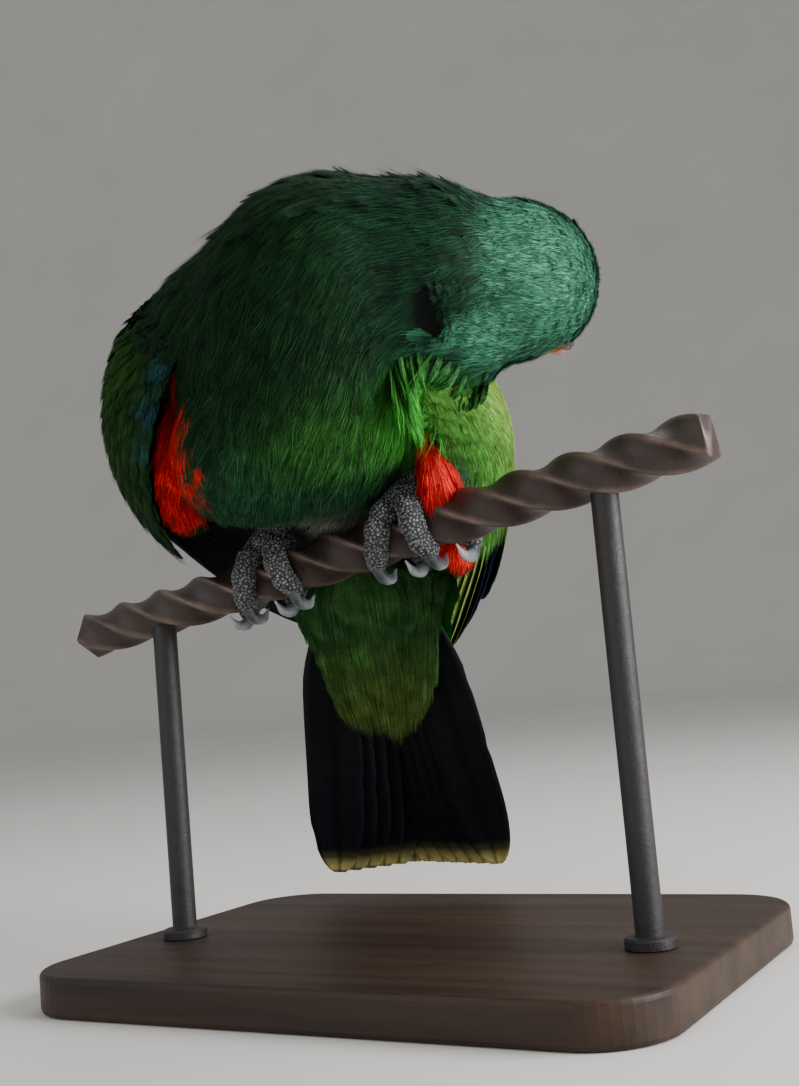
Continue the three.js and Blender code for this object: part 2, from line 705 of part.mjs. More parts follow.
const eyePlaces = mirrored(EYE.centre);
const lids = eyePlaces.map(([x, y, z]) => {
  const out = V(Math.sign(x), -0.2, 0.1).normalize();
  const turn = new THREE.Quaternion().setFromUnitVectors(V(0, 0, 1), out);
  const rim = V(x, y, z).addScaledVector(out, 2.7);
  return solidOf(new THREE.TorusGeometry(EYE.radius, 1.1, 5, 10)).transform(
    new THREE.Matrix4().compose(rim, turn, V(1, 0.84, 1)).elements,
  );
});

const roughHead = skinned(common(bodyField, grown(headSide, 8)), [22, -70, 22], [108, 44, 120], 5.9);
let head = [NECK_CUT, NECK_UNDER, HEAD_CUT].reduce((solid, cut) => past(solid, cut), roughHead);
for (const lid of lids) head = head.add(onHead(lid));
for (const at of eyePlaces) head = head.subtract(onHead(ball(at, EYE.radius + GAP)));
for (const part of [UPPER_BILL, LOWER_BILL]) head = head.subtract(onHead(billPart(part, GAP)));
head = head.subtract(wings.left.room);

const roughNeck = skinned(common(bodyField, grown(neckSide, 9)), [2, -90, 20], [110, 60, 130], 7.4);
let neck = short(past(past(roughNeck, NECK_CUT), NECK_UNDER), HEAD_CUT, GAP);
const roughTorso = skinned(without(bodyField, grown(neckSide, -12)), [-66, -100, -24], [80, 70, 132], 10);
let torso = short(roughTorso, NECK_CUT, GAP).add(short(roughTorso, NECK_UNDER, GAP));
const torsoRoom = skinned(grown(bodyField, 1), [-66, -100, -24], [116, 70, 136], 10);
const tailSlot = slab(tailSheet, [0, 0.5, 2], [-0.27, 1.27, 4], () => 24, () => -24);
const tailRoom = tailSlot.add(tailSlot.translate([0, -1.2, 1.8]));

for (const side of ["left", "right"]) {
  torso = torso.subtract(wings[side].room).subtract(legs[side].room).subtract(feet[side].room);
  neck = neck.subtract(wings[side].room);
}
torso = torso.subtract(barRoomUnderBird).subtract(tailRoom);

add(bird, "torso", torso, GREEN);
add(bird, "neck", neck, GREEN);
add(bird, "head", head, HEAD_GREEN);
add(bird, "upper_bill", onHead(upperBill), ORANGE_BILL);
add(bird, "lower_bill", onHead(lowerBill), BLACK_BILL);
add(bird, "eye_left", onHead(ball(eyePlaces[0], EYE.radius)), IRIS);
add(bird, "eye_right", onHead(ball(eyePlaces[1], EYE.radius)), IRIS);
for (const side of ["left", "right"]) {
  const flank = skinned(FLANKS[side], [-70, -60, -30], [60, 60, 90], 8.5)
    .subtract(torsoRoom)
    .subtract(wings[side].room)
    .subtract(legs[side].room)
    .subtract(feet[side].room)
    .subtract(barRoomUnderBird)
    .subtract(tailRoom);
  add(bird, `wing_${side}_coverts`, wings[side].coverts, GREEN);
  add(bird, `wing_${side}_flight`, wings[side].flight, DARK_QUILL);
  add(bird, `flank_${side}`, flank, RED);
  add(bird, `leg_${side}`, legs[side].flesh.subtract(feet[side].room), GREEN);
  add(bird, `foot_${side}`, feet[side].flesh, GREY_SKIN);
  for (const [m, claw] of feet[side].claws.entries()) add(bird, `claw_${side}_${m + 1}`, claw, CLAW);
}
add(bird, "tail", tail(), DARK_QUILL);
add(bird, "undertail_coverts", underTail, VENT_GREEN);
add(bird, "uppertail_coverts", overTail, GREEN);

// Display stand: the cut bar on two rods, and a plate with round corners
add(stand, "stand_perch", bar.translate([0, 0, PERCH_HEIGHT]), IRON);
const plate = new THREE.Shape();
const [px, py] = [0.5 * BASE.length - BASE.corner, 0.5 * BASE.depth - BASE.corner];
plate.absarc(px, py, BASE.corner, 0, 0.5 * Math.PI);
plate.absarc(-px, py, BASE.corner, 0.5 * Math.PI, Math.PI);
plate.absarc(-px, -py, BASE.corner, Math.PI, 1.5 * Math.PI);
plate.absarc(px, -py, BASE.corner, 1.5 * Math.PI, 2 * Math.PI);
const base = new THREE.ExtrudeGeometry(plate, {
  depth: BASE.height,
  bevelEnabled: false,
  curveSegments: 8,
});
add(stand, "stand_base", solidOf(base).translate([BASE.x, BASE.y, 0]), BASE_WOOD);
for (const [name, along] of RODS) {
  const rod = solidOf(new THREE.CylinderGeometry(ROD_RADIUS, ROD_RADIUS, PERCH_HEIGHT, 16))
    .rotate([90, 0, 0])
    .translate([along * Math.cos(rad(PERCH_TILT)), 0, 0.5 * PERCH_HEIGHT + BASE.height + GAP]);
  const lowest = rod.subtract(barRoom.translate([0, 0, PERCH_HEIGHT]));
  add(stand, name, under(lowest), IRON);
}

export default parrot;
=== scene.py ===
"""A male eclectus parrot at life size, perched on a cut length of twisted iron bar on a plain stand.

The bird has laid its head round over its left shoulder. Skin, coat, quills, feet and stand are built
here in metres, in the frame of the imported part. Sizes of the bird are in millimetres in its own frame:
it faces -Y, its left is +X, and the middle of the perch's axis is the origin.
"""
import logging
import math
from dataclasses import dataclass, replace
from enum import Enum
from typing import Callable, Sequence

import bpy
import numpy as np
from mathutils import Matrix, Vector
from mathutils.bvhtree import BVHTree


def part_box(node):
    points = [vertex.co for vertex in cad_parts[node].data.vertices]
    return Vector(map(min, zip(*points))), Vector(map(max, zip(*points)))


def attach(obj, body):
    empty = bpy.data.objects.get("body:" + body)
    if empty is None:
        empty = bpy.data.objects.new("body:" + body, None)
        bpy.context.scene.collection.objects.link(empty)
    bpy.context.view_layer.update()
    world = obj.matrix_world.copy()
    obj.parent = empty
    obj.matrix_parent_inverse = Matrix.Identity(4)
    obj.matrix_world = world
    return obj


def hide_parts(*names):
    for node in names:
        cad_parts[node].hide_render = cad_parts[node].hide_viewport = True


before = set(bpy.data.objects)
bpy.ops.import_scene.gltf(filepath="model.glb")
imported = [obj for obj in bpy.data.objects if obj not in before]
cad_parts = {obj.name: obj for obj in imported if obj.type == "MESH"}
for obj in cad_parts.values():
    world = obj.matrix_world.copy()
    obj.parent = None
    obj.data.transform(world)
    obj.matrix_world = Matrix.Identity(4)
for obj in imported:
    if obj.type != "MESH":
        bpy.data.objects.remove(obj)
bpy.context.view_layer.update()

Array = np.ndarray
Field = Callable[[Array], Array]
Paint = Callable[[Array, Array], Array]
Colour = tuple[float, float, float]
Body = tuple[Array, list[Array]]
Painted = tuple[Array, list[Array], Array, Array]
Random = np.random.Generator
Material = bpy.types.Material
Piece = bpy.types.Object

log = logging.getLogger("parrot")

PERCH_HEIGHT = 130.0
PERCH_TILT = math.radians(8.3)
BODY_YAW = math.radians(17.0)
BAR_SIDE = 12.0
BAR_PITCH = 68.0
BAR_FROM, BAR_TO = -108.0, 120.0
RODS = {"stand_rod_right": -75.0, "stand_rod_left": 88.0}
ROD_RADIUS = 4.0
BASE = {"x": 7.0, "y": 12.0, "length": 202.0, "depth": 142.0, "height": 12.0, "corner": 22.0}
TOE_OUT = 9.4
PATCH = 0.003  # side of the patch of the bake map that one feather takes
WING_LENGTH, TAIL_LENGTH = 168.0, 128.0


# Small maths

def turned(axis: str, degrees: float) -> Array:
    """The 3x3 matrix of a turn about one axis."""
    return np.array(Matrix.Rotation(math.radians(degrees), 3, axis.upper()))


def euler_yxz(x: float, y: float, z: float) -> Array:
    """The 3x3 matrix that turns about Z, then X, then Y, in degrees."""
    return turned("y", y) @ turned("x", x) @ turned("z", z)


BIRD_TURN = turned("z", math.degrees(BODY_YAW))
HEAD_CENTRE = np.array([66.0, -14.0, 73.0])
HEAD_TURN = euler_yxz(7.6, 97.0, -175.0)


def to_row(points: Array) -> Array:
    """Bird millimetres as metres of the row frame."""
    return (np.asarray(points, float) @ BIRD_TURN.T + [0.0, 0.0, PERCH_HEIGHT]) * 0.001


def to_head(points: Array) -> Array:
    """Bird millimetres as millimetres of the head's own frame: x to its left, y back, z up."""
    return (points - HEAD_CENTRE) @ HEAD_TURN


def from_head(points: Array) -> Array:
    """Head millimetres as bird millimetres."""
    return np.asarray(points, float) @ HEAD_TURN.T + HEAD_CENTRE


def unit(v: Array) -> Array:
    """Vectors scaled to length one."""
    return v / np.maximum(np.linalg.norm(v, axis=-1, keepdims=True), 1e-9)


def step(x: Array, low: float, high: float) -> Array:
    """A smooth step from 0 at low to 1 at high."""
    t = np.clip((np.asarray(x, float) - low) / (high - low), 0, 1)
    return t * t * (3 - 2 * t)


def mix(a: Array, b: Array, share: Array) -> Array:
    """a where share is 0 and b where it is 1."""
    return a + (b - a) * share


def srgb(red: int, green: int, blue: int) -> Colour:
    """A screen colour, 0 to 255 a channel, as linear light."""
    linear = lambda c: ((c / 255 + 0.055) / 1.055) ** 2.4 if c > 10 else c / 3295
    return linear(red), linear(green), linear(blue)


# Fields: negative inside, about a distance in millimetres

def ellipsoid(centre: Sequence[float], radii: Sequence[float], turn: Sequence[float] = (0, 0, 0)) -> Field:
    """The field of an ellipsoid turned by three angles in degrees.

    Args:
        centre: its middle.
        radii: half its sizes.
        turn: the three angles.

    Returns:
        Its field.
    """
    matrix, middle, size = euler_yxz(*turn), np.array(centre, float), np.array(radii, float)

    def value(p: Array) -> Array:
        """Distance of each point.

        Args:
            p: points.

        Returns:
            Distances.
        """
        q = (p - middle) @ matrix
        near = np.linalg.norm(q / size, axis=1)
        slope = np.linalg.norm(q / size ** 2, axis=1)
        return np.where(slope < 1e-6, -size.min(), near * (near - 1) / np.maximum(slope, 1e-6))

    return value


def cone(a: Sequence[float], b: Sequence[float], ra: float, rb: float, rings: float = 0.0) -> Field:
    """The field of a bar with round ends that tapers, with low rings across it if asked.

    Args:
        a, b: middles of its ends.
        ra, rb: radii there.
        rings: height of the rings.

    Returns:
        Its field.
    """
    start, along = np.array(a, float), np.array(b, float) - np.array(a, float)
    length = np.linalg.norm(along)

    def value(p: Array) -> Array:
        """Distance of each point.

        Args:
            p: points.

        Returns:
            Distances.
        """
        q = p - start
        t = np.clip(q @ along / length ** 2, 0, 1)
        swell = rings * np.abs(np.sin(np.pi * t * length / 2.3))
        return np.linalg.norm(q - t[:, None] * along, axis=1) - mix(ra, rb, t) - swell

    return value


def blend(soft: float, *fields: Field) -> Field:
    """Fields joined with rounded valleys.

    Args:
        soft: about the valleys' radius.
        fields: what is joined.

    Returns:
        The joint field.
    """
    def value(p: Array) -> Array:
        """Distance of each point.

        Args:
            p: points.

        Returns:
            Distances.
        """
        a = fields[0](p)
        for other in fields[1:]:
            b = other(p)
            h = np.clip(0.5 + 0.5 * (b - a) / soft, 0, 1)
            a = mix(b, a, h) - soft * h * (1 - h)
        return a

    return value


def net(shape: Field, low: Sequence[float], high: Sequence[float], cell: float) -> tuple[Array, Array]:
    """The surface where a field is zero, as points and outward four-sided faces.

    Args:
        shape: the field.
        low, high: corners of the box that holds it.
        cell: size of the grid's cells.

    Returns:
        The points, (n, 3), and the faces, (m, 4).
    """
    low = np.array(low, float)
    axes = [np.arange(a, b + cell, cell) for a, b in zip(low, high)]
    size = [len(a) for a in axes]
    grid = np.stack(np.meshgrid(*axes, indexing="ij"), -1).reshape(-1, 3)
    values = np.concatenate([shape(part) for part in np.array_split(grid, max(1, len(grid) // 200000))])
    values = values.reshape(size)
    cells = [n - 1 for n in size]
    corner = lambda c: values[tuple(slice(o, o + n) for o, n in zip(c, cells))]
    total, count = np.zeros((*cells, 3)), np.zeros(cells)
    for axis in range(3):
        others = [d for d in range(3) if d != axis]
        for s in (0, 1):
            for t in (0, 1):
                a = [0, 0, 0]
                a[others[0]], a[others[1]] = s, t
                b = list(a)
                b[axis] = 1
                fa, fb = corner(a), corner(b)
                crosses = (fa < 0) != (fb < 0)
                share = np.where(crosses, fa / np.where(crosses, fa - fb, 1), 0)
                spot = np.zeros((*cells, 3)) + a
                spot[..., axis] = share
                total += spot * crosses[..., None]
                count += crosses
    used = count > 0
    number = np.full(cells, -1)
    number[used] = np.arange(used.sum())
    at = np.argwhere(used)
    points = low + (at + total[used] / count[used][:, None]) * cell
    faces = []
    for axis in range(3):
        s, t = [d for d in range(3) if d != axis]
        inner = [slice(1, n - 1) for n in size]
        inner[axis] = slice(0, size[axis] - 1)
        a = values[tuple(inner)] < 0
        ahead = list(inner)
        ahead[axis] = slice(1, size[axis])
        b = values[tuple(ahead)] < 0
        where = np.argwhere(a != b)
        offset = np.array([0 if d == axis else 1 for d in range(3)])
        where = where + offset
        quad = []
        for ds, dt in ((-1, -1), (0, -1), (0, 0), (-1, 0)):
            c = where.copy()
            c[:, s] += ds
            c[:, t] += dt
            quad.append(number[c[:, 0], c[:, 1], c[:, 2]])
        quad = np.stack(quad, 1)
        inside = values[where[:, 0], where[:, 1], where[:, 2]] < 0
        flip = inside if axis != 1 else ~inside
        faces.append(np.where(flip[:, None], quad, quad[:, ::-1]))
    for _ in range(2):
        value = shape(points)
        slope = np.stack([(shape(points + 0.05 * e) - value) / 0.05 for e in np.eye(3)], 1)
        move = -slope * (value / np.maximum((slope ** 2).sum(1), 0.1))[:, None]
        points = points + np.clip(move, -0.4 * cell, 0.4 * cell)
    return points, np.concatenate(faces)


def normals_of(points: Array, faces: Array) -> Array:
    """Unit normals at the points of four-sided faces.

    Args:
        points: the points.
        faces: four point numbers each.

    Returns:
        A normal for each point.
    """
    a, b, c, d = (points[faces[:, k]] for k in range(4))
    across = np.cross(c - a, d - b)
    total = np.zeros_like(points)
    for k in range(4):
        np.add.at(total, faces[:, k], across)
    return unit(total)


def smoothed(points: Array, faces: Array, rounds: int, share: float = 0.5) -> Array:
    """Points drawn towards the mean of their neighbours.

    Args:
        points: the points.
        faces: four point numbers each.
        rounds: how often they are drawn.
        share: how far each time.

    Returns:
        The moved points.
    """
    edges = np.concatenate([faces[:, [k, (k + 1) % 4]] for k in range(4)])
    edges = np.concatenate([edges, edges[:, ::-1]])
    degree = np.bincount(edges[:, 0], minlength=len(points))[:, None]
    for _ in range(rounds):
        total = np.zeros_like(points)
        np.add.at(total, edges[:, 0], points[edges[:, 1]])
        points = mix(points, total / degree, share)
    return points


# Lofts and curves

def curve_at(points: Sequence[Sequence[float]], t: Array) -> Array:
    """Points on the smooth curve through some points, t from 0 to 1 over its whole length.

    Args:
        points: what it runs through.
        t: shares of its length.

    Returns:
        A point for each share.
    """
    p = np.array(points, float)
    p = np.concatenate([[2 * p[0] - p[1]], p, [2 * p[-1] - p[-2]]])
    place = np.clip(np.asarray(t, float), 0, 1) * (len(points) - 1)
    k = np.minimum(place.astype(int), len(points) - 2)
    w = (place - k)[..., None]
    x0, x1, x2, x3 = (p[k + i] for i in range(4))
    t0, t1 = 0.5 * (x2 - x0), 0.5 * (x3 - x1)
    return x1 + w * t0 + w ** 2 * (-3 * x1 + 3 * x2 - 2 * t0 - t1) + w ** 3 * (2 * x1 - 2 * x2 + t0 + t1)


def ladder(rings: Array) -> Body:
    """A closed tube from rings, (rings, points, 3), its ends closed by one face each.

    Args:
        rings: the rings, from one end to the other.

    Returns:
        Its points and a list of faces.
    """
    n, count = rings.shape[:2]
    a = np.arange(n * count).reshape(n, count)
    b = np.roll(a, -1, 1)
    sides = np.stack([a[:-1], b[:-1], b[1:], a[1:]], -1).reshape(-1, 4)
    return rings.reshape(-1, 3), [sides, a[:1, ::-1], a[-1:]]


def swept(points: Sequence[Sequence[float]], sizes: Sequence[Sequence[float]], sideways: Sequence[float],
          count: int, fineness: int) -> Array:
    """Rings of a tube along points whose section is an ellipse.

    Args:
        points: the centre line.
        sizes: half width and half height at each point.
        sideways: the direction in which the width is measured.
        count: points in a ring.
        fineness: rings between two of the points.

    Returns:
        The rings, (rings, count, 3).
    """
    steps = (len(points) - 1) * fineness
    t = np.linspace(0, 1, steps + 1)
    centre = curve_at(points, t)
    along = unit(np.gradient(centre, axis=0))
    place = t * (len(points) - 1)
    k = np.minimum(place.astype(int), len(points) - 2)
    share = step(place - k, 0, 1)[:, None]
    size = np.array(sizes, float)
    half = mix(size[k], size[k + 1], share)
    side = unit(np.array(sideways, float) - (along @ np.array(sideways, float))[:, None] * along)
    top = np.cross(along, side)
    angle = np.linspace(0, 2 * np.pi, count, endpoint=False)
    return (centre[:, None] + half[:, :1, None] * side[:, None] * np.cos(angle)[None, :, None]
            + half[:, 1:, None] * top[:, None] * np.sin(angle)[None, :, None])


def grid_faces(rows: int, columns: int) -> Array:
    """Four-sided faces between the points of a grid."""
    a = np.arange(rows * columns).reshape(rows, columns)
    return np.stack([a[:-1, :-1], a[:-1, 1:], a[1:, 1:], a[1:, :-1]], -1).reshape(-1, 4)


def slab(rows: int, columns: int) -> Array:
    """Faces of a closed plate: a grid of points above, as many below, and the wall between their rims.

    Args:
        rows, columns: size of the grid.

    Returns:
        The faces, (n, 4).
    """
    a = np.arange(rows * columns).reshape(rows, columns)
    upper = grid_faces(rows, columns)
    rim = np.concatenate([a[0, :], a[1:, -1], a[-1, -2::-1], a[-2:0:-1, 0]])
    low = rim + rows * columns
    wall = np.stack([np.roll(rim, -1), rim, low, np.roll(low, -1)], -1)
    return np.concatenate([upper, (upper + rows * columns)[:, ::-1], wall])


def halves(u: Array, v: Array) -> Array:
    """Places on the bake map for a slab: its upper side on the left half, its lower side on the right."""
    return np.concatenate([np.stack([left + 0.46 * u.ravel(), 0.02 + 0.96 * v.ravel()], 1)
                           for left in (0.02, 0.52)])


class Sheet:
    """A curved sheet through guide lines, in which feathers lie: u from the roots to the tips, v across."""

    def __init__(self, guides: Sequence[Sequence[Sequence[float]]], outwards: float = 1.0) -> None:
        """Keeps the guide lines and which side of the sheet is outside."""
        self.guides = guides
        self.outwards = outwards

    def point(self, u: Array, v: Array) -> Array:
        """Points of the sheet; past the tips it runs straight on.

        Args:
            u: shares from roots to tips.
            v: shares across.

        Returns:
            The points.
        """
        u, v = np.broadcast_arrays(np.asarray(u, float), np.asarray(v, float))
        a, b, c = (curve_at(g, u) for g in self.guides)
        w = v[..., None]
        place = a * (2 * w - 1) * (w - 1) + b * 4 * w * (1 - w) + c * w * (2 * w - 1)
        ahead = unit(curve_at(self.guides[1], np.array(1.0)) - curve_at(self.guides[1], np.array(0.99)))
        return place + np.maximum(u - 1, 0)[..., None] * 100 * ahead

    def normal(self, u: Array, v: Array) -> Array:
        """Unit normals of the sheet, on its outside.

        Args:
            u: shares from roots to tips.
            v: shares across.

        Returns:
            The normals.
        """
        u, v = np.clip(u, 0.01, 0.99), np.clip(v, 0.01, 0.99)
        across = self.point(u, v + 0.01) - self.point(u, v - 0.01)
        along = self.point(u + 0.01, v) - self.point(u - 0.01, v)
        return unit(np.cross(across, along)) * self.outwards

    def raised(self, u: Array, v: Array, height: Array) -> Array:
        """Points over the sheet by a height."""
        return self.point(u, v) + self.normal(u, v) * np.asarray(height, float)[..., None]


# Meshes

def made(name: str, points: Array, faces: Sequence[Array], finish: Material, *,
         colours: dict[str, Array] | None = None, uv: Array | None = None, smooth: bool = True,
         bird: bool = True) -> Piece:
    """A mesh object from arrays.

    Args:
        name: the piece's name.
        points: its points, in bird millimetres, or in metres of the row frame if bird is false.
        faces: arrays of faces, each with faces of one size.
        finish: its material.
        colours: values at its points by attribute name, (n,), or (n, 3) for a colour.
        uv: a place on the bake map for each point.
        smooth: whether it is shaded smooth.
        bird: whether the points are in the bird's own frame.

    Returns:
        The object, linked to the scene.
    """
    place = to_row(points) if bird else np.asarray(points, float)
    mesh = bpy.data.meshes.new(name)
    mesh.vertices.add(len(place))
    mesh.vertices.foreach_set("co", place.astype(np.float32).ravel())
    loops = np.concatenate([f.ravel() for f in faces]).astype(np.int32)
    sizes = np.concatenate([np.full(len(f), f.shape[1]) for f in faces]).astype(np.int32)
    mesh.loops.add(len(loops))
    mesh.loops.foreach_set("vertex_index", loops)
    mesh.polygons.add(len(sizes))
    mesh.polygons.foreach_set("loop_start", np.concatenate([[0], np.cumsum(sizes)[:-1]]).astype(np.int32))
    mesh.polygons.foreach_set("use_smooth", np.full(len(sizes), smooth))
    mesh.update(calc_edges=True)
    for key, value in (colours or {}).items():
        value = np.asarray(value, np.float32)
        if value.ndim == 2:
            data = mesh.attributes.new(key, "FLOAT_COLOR", "POINT").data
            opaque = np.ones((len(value), 1), np.float32)
            data.foreach_set("color", np.concatenate([value, opaque], 1).ravel())
        else:
            mesh.attributes.new(key, "FLOAT", "POINT").data.foreach_set("value", value)
    if uv is not None:
        layer = mesh.uv_layers.new(name="OFBake")
        layer.data.foreach_set("uv", uv[loops].astype(np.float32).ravel())
    mesh.validate()
    mesh.materials.append(finish)
    made_object = bpy.data.objects.new(name, mesh)
    bpy.context.scene.collection.objects.link(made_object)
    return made_object


def joined(parts: Sequence[Body]) -> Body:
    """Several bodies as one set of points and faces."""
    starts = np.cumsum([0] + [len(p) for p, _ in parts])
    return np.concatenate([p for p, _ in parts]), [f + at for (_, fs), at in zip(parts, starts) for f in fs]


def set_down(piece: Piece, slot: str, *nodes: str) -> Piece:
    """Rides a piece on the bird and hides the imported nodes that it stands for.

    Args:
        piece: the mesh object.
        slot: not used.
        nodes: what it stands for.

    Returns:
        The same piece.
    """
    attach(piece, "root")
    if nodes:
        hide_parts(*nodes)
    log.info("%s: %d faces", piece.name, len(piece.data.polygons))
    return piece


# Shaders

def socket_name(word: str) -> str:
    """A shader socket's name from its name in small letters, such as base_color."""
    return word.replace("_", " ").title().replace("Ior", "IOR")


class Value:
    """A number that a node gives, on which sums are written as in plain code."""

    def __init__(self, graph: "Graph", socket: bpy.types.NodeSocket) -> None:
        """Keeps the socket and the graph that it is in."""
        self.graph, self.socket = graph, socket

    def _sum(self, operation: str, a: "Value | float", b: "Value | float") -> "Value":
        """One Math node."""
        return self.graph.node("ShaderNodeMath", {"operation": operation}, {0: a, 1: b})

    def __add__(self, other: "Value | float") -> "Value":
        """Sum."""
        return self._sum("ADD", self, other)

    def __sub__(self, other: "Value | float") -> "Value":
        """Difference."""
        return self._sum("SUBTRACT", self, other)

    def __rsub__(self, other: float) -> "Value":
        """Difference from a number."""
        return self._sum("SUBTRACT", other, self)

    def __mul__(self, other: "Value | float") -> "Value":
        """Product."""
        return self._sum("MULTIPLY", self, other)

    def __pow__(self, other: float) -> "Value":
        """Power."""
        return self._sum("POWER", self, other)

    __radd__ = __add__
    __rmul__ = __mul__


class Graph:
    """The nodes of one material."""

    def __init__(self, name: str, **constants: float | Colour) -> None:
        """Makes a material with a Principled shader and sets its plain sockets.

        Args:
            name: the material's name.
            constants: values of sockets, named in small letters.
        """
        self.material = bpy.data.materials.new(name)
        self.material.use_nodes = True
        self.tree = self.material.node_tree
        self.shader = self.tree.nodes["Principled BSDF"]
        for key, value in constants.items():
            socket = self.shader.inputs[socket_name(key)]
            socket.default_value = (*value, 1.0) if isinstance(value, tuple) else value

    def node(self, kind: str, settings: dict[str, object], inputs: dict[int | str, object],
             output: int | str = 0) -> Value:
        """Adds a node.

        Args:
            kind: its type.
            settings: its own settings, set first; "stops" are a ramp's places and colours.
            inputs: values or links by socket name or number.
            output: the socket that is returned.

        Returns:
            The node's output.
        """
        made_node = self.tree.nodes.new(kind)
        for key, value in settings.items():
            if key == "stops":
                ramp = made_node.color_ramp
                while len(ramp.elements) < len(value):
                    ramp.elements.new(0.5)
                for element, (place, colour) in zip(ramp.elements, value):
                    element.position = place
                    element.color = (*colour, 1.0)
            else:
                setattr(made_node, key, value)
        for key, value in inputs.items():
            socket = made_node.inputs[key]
            if isinstance(value, Value):
                self.tree.links.new(value.socket, socket)
            elif isinstance(value, tuple) and len(value) == 3 and socket.type == "RGBA":
                socket.default_value = (*value, 1.0)
            else:
                socket.default_value = value
        return Value(self, made_node.outputs[output])

    def attribute(self, name: str, number: bool = False) -> Value:
        """A colour, or a number, kept at the mesh's points."""
        return self.node("ShaderNodeAttribute", {"attribute_name": name}, {}, "Fac" if number else "Color")

    def place(self) -> Value:
        """Object coordinates, in metres."""
        return self.node("ShaderNodeTexCoord", {}, {}, "Object")

    def noise(self, scale: float, detail: float = 3.0, roughness: float = 0.55,
              where: "Value | None" = None) -> Value:
        """Noise from 0 to 1, scale in waves per metre."""
        return self.node("ShaderNodeTexNoise", {}, {"Vector": where or self.place(), "Scale": scale,
                                                    "Detail": detail, "Roughness": roughness})

    def ramp(self, value: Value, *stops: tuple[float, Colour]) -> Value:
        """Colours along a value."""
        return self.node("ShaderNodeValToRGB", {"stops": stops}, {0: value})

    def between(self, value: Value, low: float, high: float, to_low: float = 0.0,
                to_high: float = 1.0) -> Value:
        """A value mapped from one range to another and kept in it."""
        return self.node("ShaderNodeMapRange", {"clamp": True},
                         {0: value, 1: low, 2: high, 3: to_low, 4: to_high})

    def mixed(self, a: "Value | Colour", b: "Value | Colour", share: "Value | float",
              how: str = "MIX") -> Value:
        """Two colours mixed."""
        return self.node("ShaderNodeMix", {"data_type": "RGBA", "blend_type": how},
                         {0: share, 6: a, 7: b}, 2)

    def scaled(self, where: Value, scale: Sequence[float]) -> Value:
        """Coordinates stretched along each axis."""
        return self.node("ShaderNodeMapping", {}, {"Vector": where, "Scale": tuple(scale)})

    def bump(self, height: Value, distance: float, strength: float = 1.0,
             under: "Value | None" = None) -> Value:
        """A bump of a height in metres; under is a coarser bump below it.

        Args:
            height: the relief.
            distance: how deep it is.
            strength: how much of it shows.
            under: the coarser bump.

        Returns:
            The bent normal.
        """
        inputs: dict[int | str, object] = {"Height": height, "Distance": distance, "Strength": strength}
        if under is not None:
            inputs["Normal"] = under
        return self.node("ShaderNodeBump", {}, inputs, "Normal")

    def feed(self, **sockets: Value) -> Material:
        """Links values to the shader's sockets and returns the material.

        Args:
            sockets: values by the socket's name in small letters.

        Returns:
            The material.
        """
        for key, value in sockets.items():
            self.tree.links.new(value.socket, self.shader.inputs[socket_name(key)])
        return self.material


@dataclass(frozen=True)
class Plumage:
    """Soft feathers, coloured by the markings kept at their points."""

    name: str
    roughness: float = 0.7
    sheen: float = 0.0
    variation: float = 0.35

    def material(self) -> Material:
        """Builds the finish.

        Returns:
            The material.
        """
        g = Graph(self.name, sheen_weight=self.sheen, sheen_roughness=0.4, specular_ior_level=0.1)
        tint = g.attribute("tint")
        patch = g.between(g.noise(170, 3), 0.3, 0.7, 1 - self.variation, 1 + self.variation)
        fine = g.between(g.noise(1400, 2), 0.3, 0.7, 0.8, 1.2)
        colour = g.mixed(tint, patch * fine, 1.0, "MULTIPLY")
        rough = g.between(g.noise(600, 2), 0.3, 0.7, self.roughness - 0.08, self.roughness + 0.1)
        return g.feed(base_color=colour, roughness=rough)


@dataclass(frozen=True)
class Quill:
    """Stiff vanes: fine barbs run out from the shaft to the edge."""

    name: str
    roughness: float = 0.5

    def material(self) -> Material:
        """Builds the finish.

        Returns:
            The material.
        """
        g = Graph(self.name, specular_ior_level=0.2)
        tint = g.attribute("tint")
        across, along = g.attribute("across", True), g.attribute("along", True)
        slant = along * 900 + across * across * 40
        lines = g.node("ShaderNodeMath", {"operation": "SINE"}, {0: slant})
        grain = g.between(lines, -1, 1, 0.82, 1.12)
        cloud = g.between(g.noise(260, 3), 0.3, 0.7, 0.75, 1.25)
        colour = g.mixed(tint, grain * cloud, 1.0, "MULTIPLY")
        rough = g.between(g.noise(500, 2), 0.3, 0.7, self.roughness - 0.08, self.roughness + 0.12)
        normal = g.bump(lines, 0.00006, 0.5)
        return g.feed(base_color=colour, roughness=rough, normal=normal)


@dataclass(frozen=True)
class Horn:
    """Bill and claws: smooth horn, worn paler towards the tip."""

    name: str
    base: Colour
    tip: Colour
    roughness: float = 0.3

    def material(self) -> Material:
        """Builds the finish.

        Returns:
            The material.
        """
        g = Graph(self.name, coat_roughness=0.25, specular_ior_level=0.5)
        along = g.attribute("along", True)
        streak = g.noise(900, 4, 0.6, g.scaled(g.place(), (1, 1, 0.25)))
        shade = g.between(streak, 0.3, 0.7, 0.82, 1.12)
        colour = g.mixed(g.ramp(along, (0.25, self.base), (0.95, self.tip)), shade, 1.0, "MULTIPLY")
        rough = g.between(streak, 0.3, 0.7, self.roughness - 0.06, self.roughness + 0.14)
        return g.feed(base_color=colour, roughness=rough, normal=g.bump(streak, 0.0002, 0.35))


